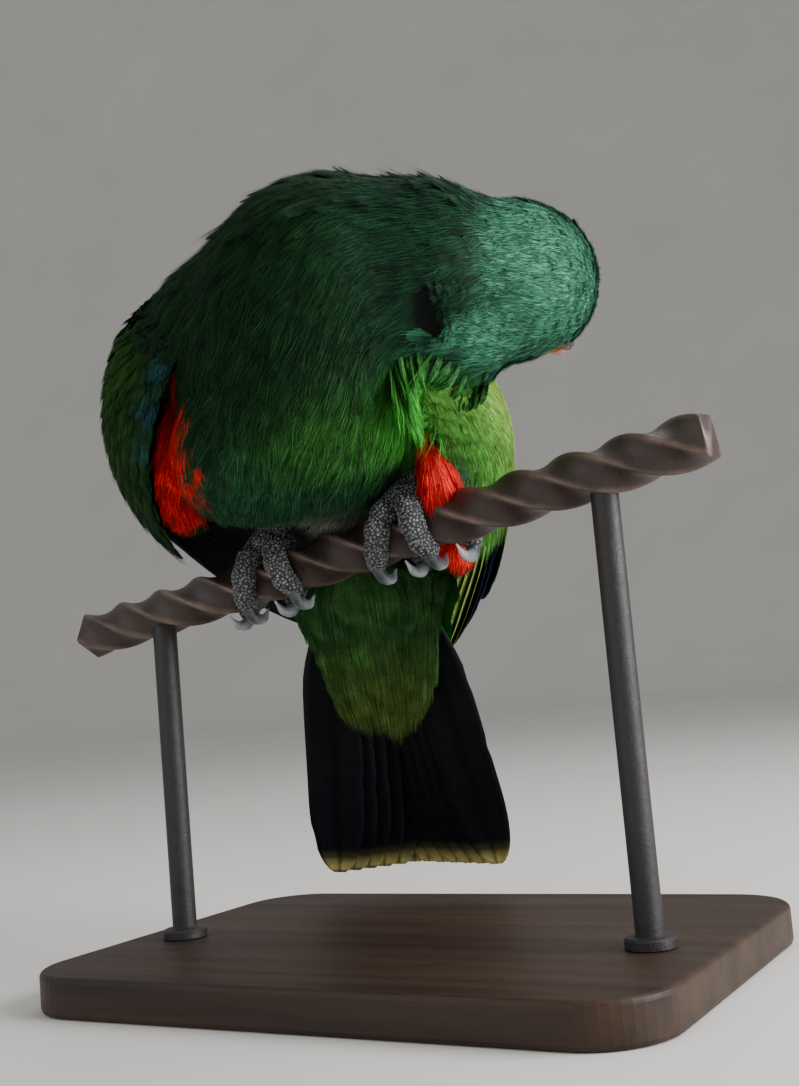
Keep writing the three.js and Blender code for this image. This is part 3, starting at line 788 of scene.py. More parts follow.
@dataclass(frozen=True)
class Hide:
    """Bare grey skin of feet and lids: granular, darker in the grooves between its plates as painted shade.
    """

    name: str
    light: Colour
    dark: Colour
    grain: float = 1500.0

    def material(self) -> Material:
        """Builds the finish.

        Returns:
            The material.
        """
        g = Graph(self.name, specular_ior_level=0.45)
        cells = g.node("ShaderNodeTexVoronoi", {"feature": "DISTANCE_TO_EDGE"},
                       {"Vector": g.place(), "Scale": self.grain}, "Distance")
        # Darker at the plates' edges: painted shade in the grooves.
        plate = g.between(cells, 0.02, 0.28)
        patch = g.noise(250, 3)
        shade = g.between(plate * 0.7 + patch * 0.55, 0.2, 0.95)
        colour = g.ramp(shade, (0.0, self.dark), (1.0, self.light))
        rough = g.between(patch, 0.3, 0.7, 0.5, 0.72)
        return g.feed(base_color=colour, roughness=rough, normal=g.bump(plate, 0.00018, 0.8))


@dataclass(frozen=True)
class Eyeball:
    """A wet eye: dark pupil, orange-brown iris with fine rays."""

    name: str = "eye_wet"

    def material(self) -> Material:
        """Builds the finish.

        Returns:
            The material.
        """
        g = Graph(self.name, roughness=0.06, coat_weight=1.0, coat_roughness=0.03)
        ring = g.attribute("along", True)
        rays = g.between(g.noise(2600, 3), 0.3, 0.7, 0.75, 1.25)
        colour = g.ramp(ring, (0.0, srgb(6, 5, 6)), (0.155, srgb(6, 5, 6)), (0.18, srgb(150, 64, 20)),
                        (0.34, srgb(214, 108, 30)), (0.43, srgb(60, 28, 14)), (1.0, srgb(24, 18, 16)))
        return g.feed(base_color=g.mixed(colour, rays, 1.0, "MULTIPLY"))


@dataclass(frozen=True)
class Iron:
    """Forged iron with a thin brown coat, rubbed on its ridges."""

    name: str
    coat: Colour
    worn: Colour
    roughness: float = 0.46

    def material(self) -> Material:
        """Builds the finish.

        Returns:
            The material.
        """
        g = Graph(self.name, specular_ior_level=0.5)
        cloud = g.noise(90, 4)
        pits = g.noise(1300, 4, 0.65)
        edge = g.attribute("edge", True)
        wear = g.between(edge * g.between(cloud, 0.35, 0.65, 0.4, 1.0), 0.25, 0.95)
        base = g.mixed(self.coat, g.between(pits, 0.3, 0.7, 0.7, 1.25), 1.0, "MULTIPLY")
        colour = g.mixed(base, self.worn, wear)
        rough = g.between(pits, 0.3, 0.7, self.roughness - 0.1, self.roughness + 0.16)
        metal = g.between(wear, 0, 1, 0.25, 0.6)
        relief = g.bump(pits, 0.00025, 0.5, g.bump(cloud, 0.001, 0.5))
        return g.feed(base_color=colour, roughness=rough, metallic=metal, normal=relief)


@dataclass(frozen=True)
class Wood:
    """Dark stained hardwood under satin varnish."""

    name: str
    light: Colour
    dark: Colour

    def material(self) -> Material:
        """Builds the finish.

        Returns:
            The material.
        """
        g = Graph(self.name, specular_ior_level=0.3)
        where = g.scaled(g.place(), (1.0, 14.0, 14.0))
        bend = g.noise(7, 3, 0.5, where)
        pores = g.noise(60, 5, 0.6, g.scaled(g.place(), (1.5, 40.0, 40.0)))
        grain = g.between(bend * 0.75 + pores * 0.35, 0.35, 0.75)
        colour = g.ramp(grain, (0.0, self.dark), (1.0, self.light))
        rough = g.between(pores, 0.3, 0.7, 0.42, 0.58)
        return g.feed(base_color=colour, roughness=rough, normal=g.bump(pores, 0.0001, 0.4))


@dataclass(frozen=True)
class Paper:
    """The studio's pale floor."""

    name: str
    colour: Colour

    def material(self) -> Material:
        """Builds the finish.

        Returns:
            The material.
        """
        g = Graph(self.name, specular_ior_level=0.2)
        cloud = g.between(g.noise(3, 3), 0.3, 0.7, 0.97, 1.03)
        rough = g.between(g.noise(40, 2), 0.3, 0.7, 0.75, 0.85)
        return g.feed(base_color=g.mixed(self.colour, cloud, 1.0, "MULTIPLY"), roughness=rough)


# The bird's body

HEAD_FORM = blend(
    6,
    ellipsoid((0, -1, 1), (22.6, 23.5, 20.5)),
    ellipsoid((0, -5, -8), (19.5, 18, 13)),
    ellipsoid((0, -14, 2), (13, 11.5, 12.5)),
    ellipsoid((0, 12, -2), (20.5, 16, 19)),
)
TORSO_FORM = blend(
    12,
    ellipsoid((1, -24, 55), (37, 50, 40), (-44, 9, 0)),
    ellipsoid((-23, -22, 31), (22, 30, 22)),
    ellipsoid((-25, -24, 67), (24, 27, 26)),
    ellipsoid((6, -30, 77), (30, 29, 29)),
    ellipsoid((3, -6, 78), (30, 24, 24)),
    ellipsoid((0, 18, 26), (25, 26, 25), (-44, 0, 0)),
    ellipsoid((-27, 6, 46), (25, 36, 27), (-40, 0, 0)),
    ellipsoid((20, 8, 46), (21, 33, 25), (-40, 0, 0)),
)
NECK_FORM = blend(
    8,
    cone((14, -36, 75), (38, -30, 74), 32, 28),
    cone((38, -30, 74), (58, -20, 73), 28, 21),
    ellipsoid((45, -22, 52), (16, 17, 15)),
)
FLANK_FORM = {
    "right": ellipsoid((-43, -13, 34), (8, 26, 25), (-14, 10, 0)),
    "left": ellipsoid((33, 2, 14), (8, 30, 19), (-38, 0, 0)),
}
LEG_FORM = blend(
    5,
    ellipsoid((-18, 0, 30), (12, 14, 12)),
    cone((-18, 0, 30), (-21, 3, 20), 10, 6.4),
    ellipsoid((23, -4, 32), (12, 14, 12)),
    cone((23, -4, 32), (27, -4, 26), 10, 6.4),
)


def body_form(p: Array) -> Array:
    """The field of the whole feathered body, head and neck included.

    Args:
        p: points.

    Returns:
        Distances, below 0 inside.
    """
    whole = blend(9, TORSO_FORM, NECK_FORM, lambda q: HEAD_FORM(to_head(q)))(p)
    for part in (*FLANK_FORM.values(), LEG_FORM):
        other = part(p)
        h = np.clip(0.5 + 0.5 * (other - whole) / 4, 0, 1)
        whole = mix(other, whole, h) - 4 * h * (1 - h)
    return whole


WING_GUIDES = {
    "right": (1.0, (
        ((-34, -45, 60), (-44, -42, 34), (-52, -22, 15), (-55, 14, 6), (-43, 50, -10), (-14, 88, -29)),
        ((-45, -34, 74), (-56, -24, 59), (-59, -4, 47), (-53, 30, 28), (-36, 66, 4), (-9, 98, -25)),
        ((-27, -18, 90), (-26, 2, 95), (-17, 25, 86), (-7, 53, 56), (-2, 83, 19), (2, 104, -19)),
    )),
    "left": (-1.0, (
        ((34, -38, 44), (38, -20, 30), (38, 4, 17), (34, 32, 1), (20, 64, -18), (4, 94, -42)),
        ((40, -28, 46), (46, -8, 42), (47, 16, 34), (40, 44, 18), (24, 76, -10), (2, 105, -39)),
        ((33, -8, 52), (33, 12, 66), (24, 32, 65), (12, 57, 44), (4, 85, 9), (-2, 108, -36)),
    )),
}
TAIL_ROOT, TAIL_TIP, TAIL_SPREAD = np.array([0, 27, 5.0]), np.array([-5, 88, -108.0]), 42.0


def fan(shares: Sequence[float]) -> Sheet:
    """A sheet from the tail's root to its tip, as wide at four places as the shares say.

    Args:
        shares: widths from root to tip, as shares of the tail's spread.

    Returns:
        The sheet.
    """
    guides = []
    for across in (-TAIL_SPREAD, 0.0, TAIL_SPREAD):
        line = []
        for t, share in zip((0, 0.33, 0.66, 1), shares):
            p = TAIL_ROOT + (TAIL_TIP - TAIL_ROOT) * t
            out = across * share
            line.append((p[0] + out * (0.5 + 0.5 * t ** 0.6), p[1], p[2] - 0.14 * abs(out) * share))
        guides.append(line)
    return Sheet(guides)


SHEETS = {side: Sheet(guides, outwards) for side, (outwards, guides) in WING_GUIDES.items()}
SHEETS["tail"] = fan((1, 1, 1, 1))
SHEETS["tail_coverts"] = fan((1.3, 0.68, 0.3, 0.2))


class Tone(Enum):
    """Colours of the plumage, as the photo's soft light from one side shows them."""

    # BREAST, NECK and MANTLE: the body's green painted far darker, as painted shade on the side turned from
    # the light.
    BREAST = srgb(12, 41, 18)
    # EMERALD and LEAF: the breast's own green, painted brighter where light falls across it, a painted
    # highlight.
    EMERALD = srgb(58, 142, 48)
    LEAF = srgb(52, 108, 40)
    # Painted shade, as BREAST.
    NECK = srgb(13, 45, 27)
    HEAD = srgb(50, 106, 80)
    HEAD_FLECK = srgb(98, 154, 126)
    FOREHEAD = srgb(70, 112, 62)
    BELLY = srgb(26, 62, 38)
    # Painted shade, as BREAST.
    MANTLE = srgb(13, 44, 16)
    # Near black: painted shadow in the gap under the ruff's edge.
    RUFF_SHADE = srgb(5, 12, 9)
    RED = srgb(196, 30, 26)
    DOWN = srgb(168, 172, 160)
    TURQUOISE = srgb(12, 52, 66)
    BLUE = srgb(20, 44, 108)
    WING = srgb(44, 112, 38)
    WING_SHADE = srgb(30, 82, 28)
    WING_EDGE = srgb(140, 166, 72)
    VENT = srgb(38, 76, 34)
    OLIVE = srgb(76, 90, 36)
    QUILL = srgb(22, 24, 34)
    QUILL_UNDER = srgb(14, 15, 22)
    PALE_TIP = srgb(196, 186, 110)


def tone(kind: Tone) -> Array:
    """A tone as an array."""
    return np.array(kind.value)


@dataclass(frozen=True)
class Marking:
    """A patch of colour with a soft edge: an ellipsoid in the bird's frame."""

    colour: Tone
    centre: tuple[float, float, float]
    radii: tuple[float, float, float]
    soft: float = 0.25
    strength: float = 1.0

    def share(self, p: Array) -> Array:
        """How much of the patch's colour each point takes."""
        near = np.linalg.norm((p - np.array(self.centre)) / np.array(self.radii), axis=1)
        return self.strength * (1 - step(near, 1 - self.soft, 1 + self.soft))


# The gap under the raised ruff: no feathers root in it, and its near-black colour is a painted shadow of the
# ruff's edge.
RUFF_GAP_SHADE = Marking(Tone.RUFF_SHADE, (43, -53, 56), (4.2, 9, 10), 0.15)
# The fringe over the breast; its bright emerald is partly painted highlight.
DRAPE = Marking(Tone.EMERALD, (37.5, -34, 44), (10, 15, 7), 0.3)
RED_PATCHES = (
    Marking(Tone.RED, (-38.5, -47, 39), (10.5, 15, 19), 0.03),
    Marking(Tone.RED, (-47, -24, 34), (10, 22, 20), 0.03),
    Marking(Tone.RED, (36, -6, 18), (9, 30, 21.5), 0.03),
)
MARKINGS = (
    Marking(Tone.MANTLE, (0, 10, 95), (60, 60, 40), 0.4),
    Marking(Tone.BELLY, (-14, -34, 14), (34, 34, 20), 0.4),
    # Lighter green band across the breast: its own green, painted brighter as a painted highlight.
    Marking(Tone.LEAF, (16, -47, 32), (24, 18, 8), 0.6, 0.65),
    Marking(Tone.EMERALD, (37, -34, 38), (15, 19, 10), 0.5, 0.9),
    Marking(Tone.DOWN, (-2, -4, 3), (19, 24, 9), 0.4, 0.9),
    *RED_PATCHES,
)


def red_share(p: Array) -> Array:
    """How red the points of the body are."""
    return np.max([patch.share(p) for patch in RED_PATCHES], axis=0)


def neck_way(p: Array) -> tuple[Array, Array]:
    """How far along the neck points are; the head's cape hangs down over the neck.

    Args:
        p: points of the body.

    Returns:
        The neck's share and the head's.
    """
    neck = (p - np.array([27, -34, 80])) @ unit(np.array([1, 0.12, 0.16]))
    under = step(p[:, 2] - 0.1 * p[:, 0], 36, 46)
    cape = p[:, 0] - 65 + 21 * step(62 - p[:, 2] - 0.12 * p[:, 1], 5, 16)
    own = to_head(p)
    face = step(-own[:, 1], -14, -2) * (1 - step(np.linalg.norm(own, axis=1), 26, 36))
    return step(neck, -9, 9) * under, np.maximum(step(cape, -6, 5), face) * under


def marked(p: Array) -> Array:
    """The plumage's colour at points of the body, with a painted shadow in the gap under the ruff's edge.

    Args:
        p: points of the body.

    Returns:
        A colour for each.
    """
    neck, head = (share[:, None] for share in neck_way(p))
    colour = np.tile(tone(Tone.BREAST), (len(p), 1))
    for patch in MARKINGS:
        colour = mix(colour, tone(patch.colour), patch.share(p)[:, None])
    colour = mix(colour, tone(Tone.NECK), neck * 0.9)
    front = step(-to_head(p)[:, 1], 14, 24)[:, None]
    colour = mix(colour, mix(tone(Tone.HEAD), tone(Tone.FOREHEAD), 0.7 * front), head)
    # Painted shadow in the gap under the ruff.
    return mix(colour, tone(Tone.RUFF_SHADE), RUFF_GAP_SHADE.share(p)[:, None])


def lie(p: Array, n: Array) -> Array:
    """The direction in which the feathers lie at points of the body, along its surface.

    Args:
        p: points of the body.
        n: normals there.

    Returns:
        Unit vectors.
    """
    neck, head = (share[:, None] for share in neck_way(p))
    from_neck = unit(p - np.array([30, -28, 78]))
    to_vent = unit(np.array([0, 42, -12]) - p)
    torso = from_neck + 0.9 * to_vent
    torso = mix(torso, np.array([0, 0.55, -1.0]), red_share(p)[:, None])
    along_neck = unit(np.array([-52, -22, -6.0]))
    back_of_head = HEAD_TURN @ np.array([0, 1.0, 0])
    flow = mix(torso, along_neck + 0.25 * torso, neck)
    flow = mix(flow, 0.9 * along_neck + 0.8 * back_of_head, head)
    return unit(flow - (flow * n).sum(1, keepdims=True) * n)


class Surface:
    """Four-sided faces on which the nearest place to a point can be found."""

    def __init__(self, points: Array, faces: Array) -> None:
        """Sorts the faces."""
        self.faces, self.normals = faces, normals_of(points, faces)
        self.tree = BVHTree.FromPolygons(points.tolist(), faces.tolist())

    def nearest(self, points: Array) -> tuple[Array, Array]:
        """The nearest places to some points and the normals there.

        Args:
            points: where to look from.

        Returns:
            The places and the normals.
        """
        places, normals = np.zeros_like(points), np.zeros_like(points)
        for k, p in enumerate(points):
            place, _, index, _ = self.tree.find_nearest(p)
            places[k] = place
            normals[k] = self.normals[self.faces[index]].mean(0)
        return places, unit(normals)


@dataclass
class Skin:
    """The body's skin under the coat, one closed surface, with its unwrap."""

    depth: float = 2.2
    cell: float = 1.7

    def __post_init__(self) -> None:
        """Builds the surface, presses the wings into it and sorts it for finding nearest places."""
        points, faces = net(lambda p: body_form(p) + mix(self.depth, 1.2, neck_way(p)[1]), (-66, -92, -14),
                            (104, 60, 124), self.cell)
        points = self.under_wings(points, faces)
        points = smoothed(points, faces, 3, 0.4)
        self.points, self.faces = points, faces
        self.normals = normals_of(points, faces)
        self.uv_of_face: Array = np.zeros((len(faces), 4, 2))
        self.near = Surface(points, faces)
        over = [(points, faces), Wing("right").shell(), Wing("left").shell()]
        points, found = joined([(p, [f]) for p, f in over])
        self.over = Surface(points, np.concatenate(found))

    @staticmethod
    def wing_cover(points: Array) -> Array:
        """Height of points over the seat of a wing that covers them, in mm; far below where none does.

        Args:
            points: points of the body.

        Returns:
            A height for each.
        """
        over = np.full(len(points), -99.0)
        for side, front in (("right", 0.08), ("left", 0.15)):
            sheet = SHEETS[side]
            u, v = np.meshgrid(np.linspace(front, 0.97, 40), np.linspace(0.05, 0.95, 22), indexing="ij")
            centres = sheet.point(u.ravel(), v.ravel())
            normal = sheet.normal(u.ravel(), v.ravel())
            low, high = centres.min(0) - 16, centres.max(0) + 16
            near = np.where(((points > low) & (points < high)).all(1))[0]
            for part in np.array_split(near, max(1, len(near) // 4000)):
                gap = points[part][:, None] - centres[None]
                k = np.argmin((gap ** 2).sum(2), 1)
                offset = points[part] - centres[k]
                height = (offset * normal[k]).sum(1)
                beside = np.linalg.norm(offset - height[:, None] * normal[k], axis=1)
                over[part] = np.where(beside < 3.4, np.maximum(over[part], height), over[part])
        return over

    def under_wings(self, points: Array, faces: Array) -> Array:
        """Points lowered under the seats of the wings.

        Args:
            points: the skin's points.
            faces: its faces.

        Returns:
            The lowered points.
        """
        over = self.wing_cover(points)
        normal = normals_of(points, faces)
        sink = np.where((over > -3.2) & (over < 16), over + 3.2, 0.0) * (1 - neck_way(points)[0])
        return points - normal * sink[:, None]

    def build(self, finish: Material) -> Piece:
        """Makes the skin's mesh and its unwrap.

        Args:
            finish: its material.

        Returns:
            The piece.
        """
        piece = made("skin", self.points, [self.faces], finish, colours={"tint": marked(self.points) * 0.75},
                     uv=np.zeros((len(self.points), 2)))
        bpy.context.view_layer.objects.active = piece
        piece.select_set(True)
        bpy.ops.object.mode_set(mode="EDIT")
        bpy.ops.mesh.select_all(action="SELECT")
        bpy.ops.uv.smart_project(angle_limit=math.radians(66), island_margin=0.004)
        bpy.ops.object.mode_set(mode="OBJECT")
        piece.select_set(False)
        uv = np.zeros(len(piece.data.loops) * 2, np.float32)
        piece.data.uv_layers["OFBake"].data.foreach_get("uv", uv)
        loops = np.zeros(len(piece.data.loops), np.int32)
        piece.data.loops.foreach_get("vertex_index", loops)
        self.uv_of_face = uv.reshape(-1, 4, 2)
        self.faces = loops.reshape(-1, 4)
        return piece

    def onto(self, points: Array, normals: Array, free: bool = False) -> tuple[Array, Array]:
        """The nearest points of the skin, or high on the back of skin and wings, and the normals there.

        Args:
            points: where the feathers would lie.
            normals: which way is out there.
            free: whether points that stand clear of skin and wings stay where they are.

        Returns:
            The places and the normals.
        """
        if free:
            places, slopes = self.over.nearest(points)
            clear = ((points - places) * slopes).sum(1) > 1.0
            return np.where(clear[:, None], points, places + slopes), slopes
        places, slopes = self.near.nearest(points)
        high = (points[:, 2] > 50) | ((points[:, 0] > 22) & (points[:, 2] > 33))
        if high.any():
            places[high], slopes[high] = self.over.nearest(points[high] + 3.0 * normals[high])
        return places, slopes

    def scatter(self, rng: Random, density: Field) -> tuple[Array, Array, Array]:
        """Roots over the skin.

        Args:
            rng: the seeded generator.
            density: how many roots a square millimetre takes at each point.

        Returns:
            The roots, the normals there and their places on the unwrap.
        """
        corners = self.points[self.faces]
        across = np.cross(corners[:, 2] - corners[:, 0], corners[:, 3] - corners[:, 1])
        area = 0.5 * np.linalg.norm(across, axis=1)
        wanted = area * density(corners.mean(1))
        number = np.floor(wanted + rng.random(len(wanted))).astype(int)
        face = np.repeat(np.arange(len(wanted)), number)
        s, t = rng.random(len(face))[:, None], rng.random(len(face))[:, None]
        weights = np.stack([(1 - s) * (1 - t), s * (1 - t), s * t, (1 - s) * t], 1)
        at = lambda values: (values[face] * weights).sum(1)
        return at(corners), unit(at(self.normals[self.faces])), at(self.uv_of_face)


# Feathers

PER_FEATHER = ("roots", "middles", "ends", "n_root", "n_middle", "n_end", "width", "lift", "colour",
               "tip_colour", "uv")


@dataclass
class Feathers:
    """Many soft feathers, each a curved vane with loose barbs over it."""

    roots: Array
    middles: Array
    ends: Array
    n_root: Array
    n_middle: Array
    n_end: Array
    width: Array
    lift: Array
    colour: Array
    tip_colour: Array
    uv: Array
    strands: int = 12
    strand_width: float = 0.42
    fray: float = 1.0
    streak: float = 0.5

    def some(self, chosen: Array) -> "Feathers":
        """Only the feathers with these numbers."""
        return replace(self, **{name: getattr(self, name)[chosen] for name in PER_FEATHER})

    def along(self, t: Array) -> tuple[Array, Array, Array]:
        """Points, normals and sides of each feather's centre line at shares t of its length, (n, k).

        Args:
            t: the shares.

        Returns:
            The points, the normals and the sides.
        """
        w = t[..., None]
        a, b, c = (2 * w - 1) * (w - 1), 4 * w * (1 - w), w * (2 * w - 1)
        shape = (slice(None),) + (None,) * (t.ndim - 1)
        centre = a * self.roots[shape] + b * self.middles[shape] + c * self.ends[shape]
        normal = unit(a * self.n_root[shape] + b * self.n_middle[shape] + c * self.n_end[shape])
        ahead = ((4 * w - 3) * self.roots[shape] + (4 - 8 * w) * self.middles[shape]
                 + (4 * w - 1) * self.ends[shape])
        side = unit(np.cross(normal, ahead))
        return centre, normal, side

    def outline(self, t: Array) -> Array:
        """Half the width at shares t of the length, as a share of the widest."""
        return step(t, -0.25, 0.4) * np.sqrt(np.clip(1 - ((t - 0.42) / 0.4).clip(0, 1) ** 2.0, 0.03, 1))

    def build(self, rng: Random) -> Painted:
        """Makes the feathers: a vane for each, then the loose barbs over the vanes.

        Args:
            rng: the seeded generator.

        Returns:
            Points, faces, colours and places on the bake map.
        """
        vanes, barbs = self.vanes(rng), self.barbs(rng)
        points, faces = joined([vanes[:2], barbs[:2]])
        return points, faces, np.concatenate([vanes[2], barbs[2]]), np.concatenate([vanes[3], barbs[3]])

    def vanes(self, rng: Random) -> Painted:
        """One curved vane for each feather, in rows of three points.

        Args:
            rng: the seeded generator.

        Returns:
            Points, faces, colours and places on the bake map.
        """
        n = len(self.roots)
        rows, across = np.array([0.0, 0.25, 0.48, 0.66, 0.8]), np.array([-1.0, 0.0, 1.0])
        t = np.broadcast_to(rows, (n, len(rows)))
        centre, normal, side = self.along(t)
        half = self.outline(t) * self.width[:, None] * (1 + 0.15 * (rng.random(t.shape) - 0.5))
        rise = (self.lift[:, None] * t ** 1.2)[..., None]
        height = rise - 0.22 * half[..., None] * across ** 2 - 0.1
        place = (centre[:, :, None] + side[:, :, None] * (half[..., None] * across)[..., None]
                 + normal[:, :, None] * height[..., None])
        share = t[:, :, None, None] ** 2
        tint = mix(0.62 * self.colour[:, None, None], 0.85 * self.tip_colour[:, None, None], share)
        tint = np.broadcast_to(tint, place.shape) * (0.85 + 0.3 * rng.random((n, 1, 1, 1)))
        size = len(rows) * len(across)
        faces = grid_faces(len(rows), len(across)) + size * np.arange(n)[:, None, None]
        offset = np.stack(np.broadcast_arrays(0.5 * across, (t - 0.5)[:, :, None]), -1)
        uv = self.uv[:, None, None] + PATCH * 0.8 * offset
        return place.reshape(-1, 3), [faces.reshape(-1, 4)], tint.reshape(-1, 3), uv.reshape(-1, 2)

    def barbs(self, rng: Random) -> Painted:
        """The loose barbs, each a pointed ribbon of seven points.

        Args:
            rng: the seeded generator.

        Returns:
            Points, faces, colours and places on the bake map.
        """
        n, k = len(self.roots), self.strands
        spread = np.linspace(-1, 1, k)[None] + (rng.random((n, k)) - 0.5) * 2.4 / k
        begin = 0.04 + 0.34 * rng.random((n, k))
        finish = 1.02 - 0.3 * spread ** 2 + self.fray * 0.16 * (rng.random((n, k)) - 0.45)
        s = np.array([0.0, 0.4, 0.74, 1.0])
        t = begin[..., None] + (finish - begin)[..., None] * s
        centre, normal, side = self.along(t)
        lateral = spread[..., None] * self.width[:, None, None] * (0.12 + 0.88 * step(t, 0.0, 0.75))
        wave = self.fray * 0.35 * (rng.random((n, k, 1)) - 0.5) * s
        stray = 1 + 0.5 * self.fray * (rng.random((n, k, 1)) - 0.4)
        rise = self.lift[:, None, None] * t ** 1.2 * stray - 0.18 * np.abs(lateral) + 0.12
        core = centre + side * (lateral + wave)[..., None] + normal * rise[..., None]
        taper = np.array([0.6, 1.0, 0.7, 0.0])
        half = 0.5 * self.strand_width * taper * (0.75 + 0.5 * rng.random((n, k, 1)))
        left, right = core - side * half[..., None], core + side * half[..., None]
        place = np.stack([left[:, :, 0], right[:, :, 0], left[:, :, 1], right[:, :, 1], left[:, :, 2],
                          right[:, :, 2], core[:, :, 3]], 2)
        bright = np.clip(1 + self.streak * rng.standard_normal((n, k, 1)), 0.35, 2.2)
        share = t[..., [0, 0, 1, 1, 2, 2, 3]]
        tint = mix(self.colour[:, None, None], self.tip_colour[:, None, None], (share ** 1.6)[..., None])
        tint = tint * bright[..., None]
        first = (7 * np.arange(n * k))[:, None]
        faces = [first + np.array(corners) for corners in ([0, 1, 3, 2], [2, 3, 5, 4], [4, 5, 6])]
        offset = np.stack(np.broadcast_arrays(0.5 * spread[..., None], share - 0.5), -1)
        uv = np.clip(self.uv[:, None, None] + PATCH * 0.8 * offset, 0, 1)
        return place.reshape(-1, 3), faces, tint.reshape(-1, 3), uv.reshape(-1, 2)


@dataclass(frozen=True)
class Tract:
    """A region of the body's coat: its pieces, from the bird's right to its left, and its feathers."""

    names: tuple[str, ...]
    length: float
    width: float
    lift: float
    density: float
    strands: int
    fray: float = 1.0
    strand_width: float = 0.4


TRACTS = {
    "head": Tract(("coat_nape", "coat_crown"), 6.6, 1.8, 0.9, 0.55, 12, 1.3, 0.2),
    "neck": Tract(("coat_neck",), 11.0, 2.3, 1.1, 0.32, 15, 1.5, 0.2),
    "breast": Tract(("coat_breast_right", "coat_breast_left"), 14.0, 2.7, 1.2, 0.17, 19, 1.6, 0.2),
    "belly": Tract(("coat_belly",), 15.0, 3.0, 1.6, 0.17, 20, 2.0, 0.2),
    "mantle": Tract(("coat_mantle",), 15.0, 4.0, 1.1, 0.13, 22, 1.4, 0.24),
    "drape": Tract(("coat_drape",), 13.0, 0.9, 0.9, 0.95, 12, 2.8, 0.18),
}


@dataclass(frozen=True)
class Coat:
    """The small feathers of head, neck and body, on the skin that they grow from."""

    skin: Skin
    finish: Material

    @staticmethod
    def region(p: Array) -> Array:
        """The number of the tract in TRACTS that each point is in, the borders a little ragged.

        Args:
            p: points of the body.

        Returns:
            The numbers.
        """
        neck, head = neck_way(p)
        back = step(p[:, 1] * 0.55 + p[:, 2], 70, 86)
        belly = 1 - step(p[:, 2] + 0.25 * p[:, 1], 12, 26)
        ragged = 0.3 * np.sin(p @ [7.3, 5.1, 9.7])
        found = np.full(len(p), 2)
        for number, share in ((3, belly), (4, back), (1, neck), (0, head)):
            found[share + ragged > 0.5] = number
        return found

    def build(self, rng: Random) -> None:
        """Builds each tract as pieces of its own.

        Args:
            rng: the seeded generator.
        """
        for number, (key, tract) in enumerate(TRACTS.items()):
            feathers = self.grown(key, number, rng)
            order = np.arange(len(feathers.roots))
            slot = "head_feathers" if key == "head" else "body_feathers"
            for name, chosen in zip(tract.names, np.array_split(order, len(tract.names))):
                points, faces, tints, maps = feathers.some(chosen).build(rng)
                piece = made(name, points, faces, self.finish, colours={"tint": tints}, uv=maps, smooth=False)
                set_down(piece, slot)

    def grown(self, key: str, number: int, rng: Random) -> Feathers:
        """The feathers of one tract, from the bird's right to its left.

        Args:
            key: the tract's key in TRACTS.
            number: its place there.
            rng: the seeded generator.

        Returns:
            The feathers.
        """
        tract, fringe = TRACTS[key], key == "drape"
        mine = lambda p: tract.density * (DRAPE.share(p) if fringe else self.region(p) == number)
        roots, normals, uv = self.skin.scatter(rng, mine)
        over = Skin.wing_cover(roots)
        clear = ((over < -2.0) | (over > 6.5) | fringe) & (RUFF_GAP_SHADE.share(roots) < 0.5)
        clear &= Face.bare(to_head(roots)) > 0
        roots, normals, uv = roots[clear], normals[clear], uv[clear]
        n = len(roots)
        flow = lie(roots, normals) + 0.16 * rng.standard_normal((n, 3))
        flow = unit(flow - (flow * normals).sum(1, keepdims=True) * normals)
        if fringe:
            sway = mix(0.3, -0.5, step(roots[:, 0], 35, 45))
            flow = 0.3 * flow + np.stack([sway, np.full(n, -0.2), np.full(n, -0.9)], 1)
            flow = unit(flow + 0.1 * normals + 0.12 * rng.standard_normal((n, 3)))
        length = tract.length * (0.8 + 0.4 * rng.random(n))
        if key == "head":
            length *= 0.5 + 0.5 * step(to_head(roots)[:, 1], -26, -6)
        reach = flow * length[:, None]
        in_gap = np.maximum(RUFF_GAP_SHADE.share(roots + reach), RUFF_GAP_SHADE.share(roots + 0.6 * reach))
        reach *= (1 - 0.7 * in_gap)[:, None]
        middles, n_middle = self.skin.onto(roots + 0.5 * reach, normals, fringe)
        ends, n_end = self.skin.onto(roots + reach, n_middle, fringe)
        colour, tip = self.colours(key, roots, ends, rng)
        width = tract.width * (0.85 + 0.3 * rng.random(n))
        lift = tract.lift * (0.7 + 0.7 * rng.random(n))
        lift *= 1 + 1.4 * (rng.random(n) < 0.05) * step(roots[:, 2], 78, 92)
        feathers = Feathers(roots - 0.4 * normals, middles, ends, normals, n_middle, n_end, width, lift,
                            colour, tip, uv, tract.strands, tract.strand_width, tract.fray)
        return feathers.some(np.argsort(roots[:, 0]))

    @staticmethod
    def colours(key: str, roots: Array, ends: Array, rng: Random) -> tuple[Array, Array]:
        """Colours of feathers: those of the marking under the root, which no feather carries over a red edge.

        Args:
            key: the tract's key in TRACTS.
            roots, ends: where the feathers start and end.
            rng: the seeded generator.

        Returns:
            The colours at the roots and at the tips.
        """
        n = len(roots)
        colour = marked(roots) * np.exp(0.14 * rng.standard_normal((n, 1)))
        crosses = np.abs(red_share(roots) - red_share(ends)) > 0.1
        tip = mix(marked(roots), marked(ends), np.where(crosses, 0, 0.35)[:, None]) * 1.15
        if key == "drape":
            # Drape tips brightened towards EMERALD: partly painted highlight.
            colour, tip = mix(colour, tone(Tone.LEAF), 0.5), mix(tip, tone(Tone.EMERALD), 0.8)
        if key in ("head", "neck"):
            fleck = 0.45 * neck_way(roots)[1][:, None] * rng.random((n, 1)) ** 1.5
            tip = mix(tip, tone(Tone.HEAD_FLECK), fleck)
        return colour, tip


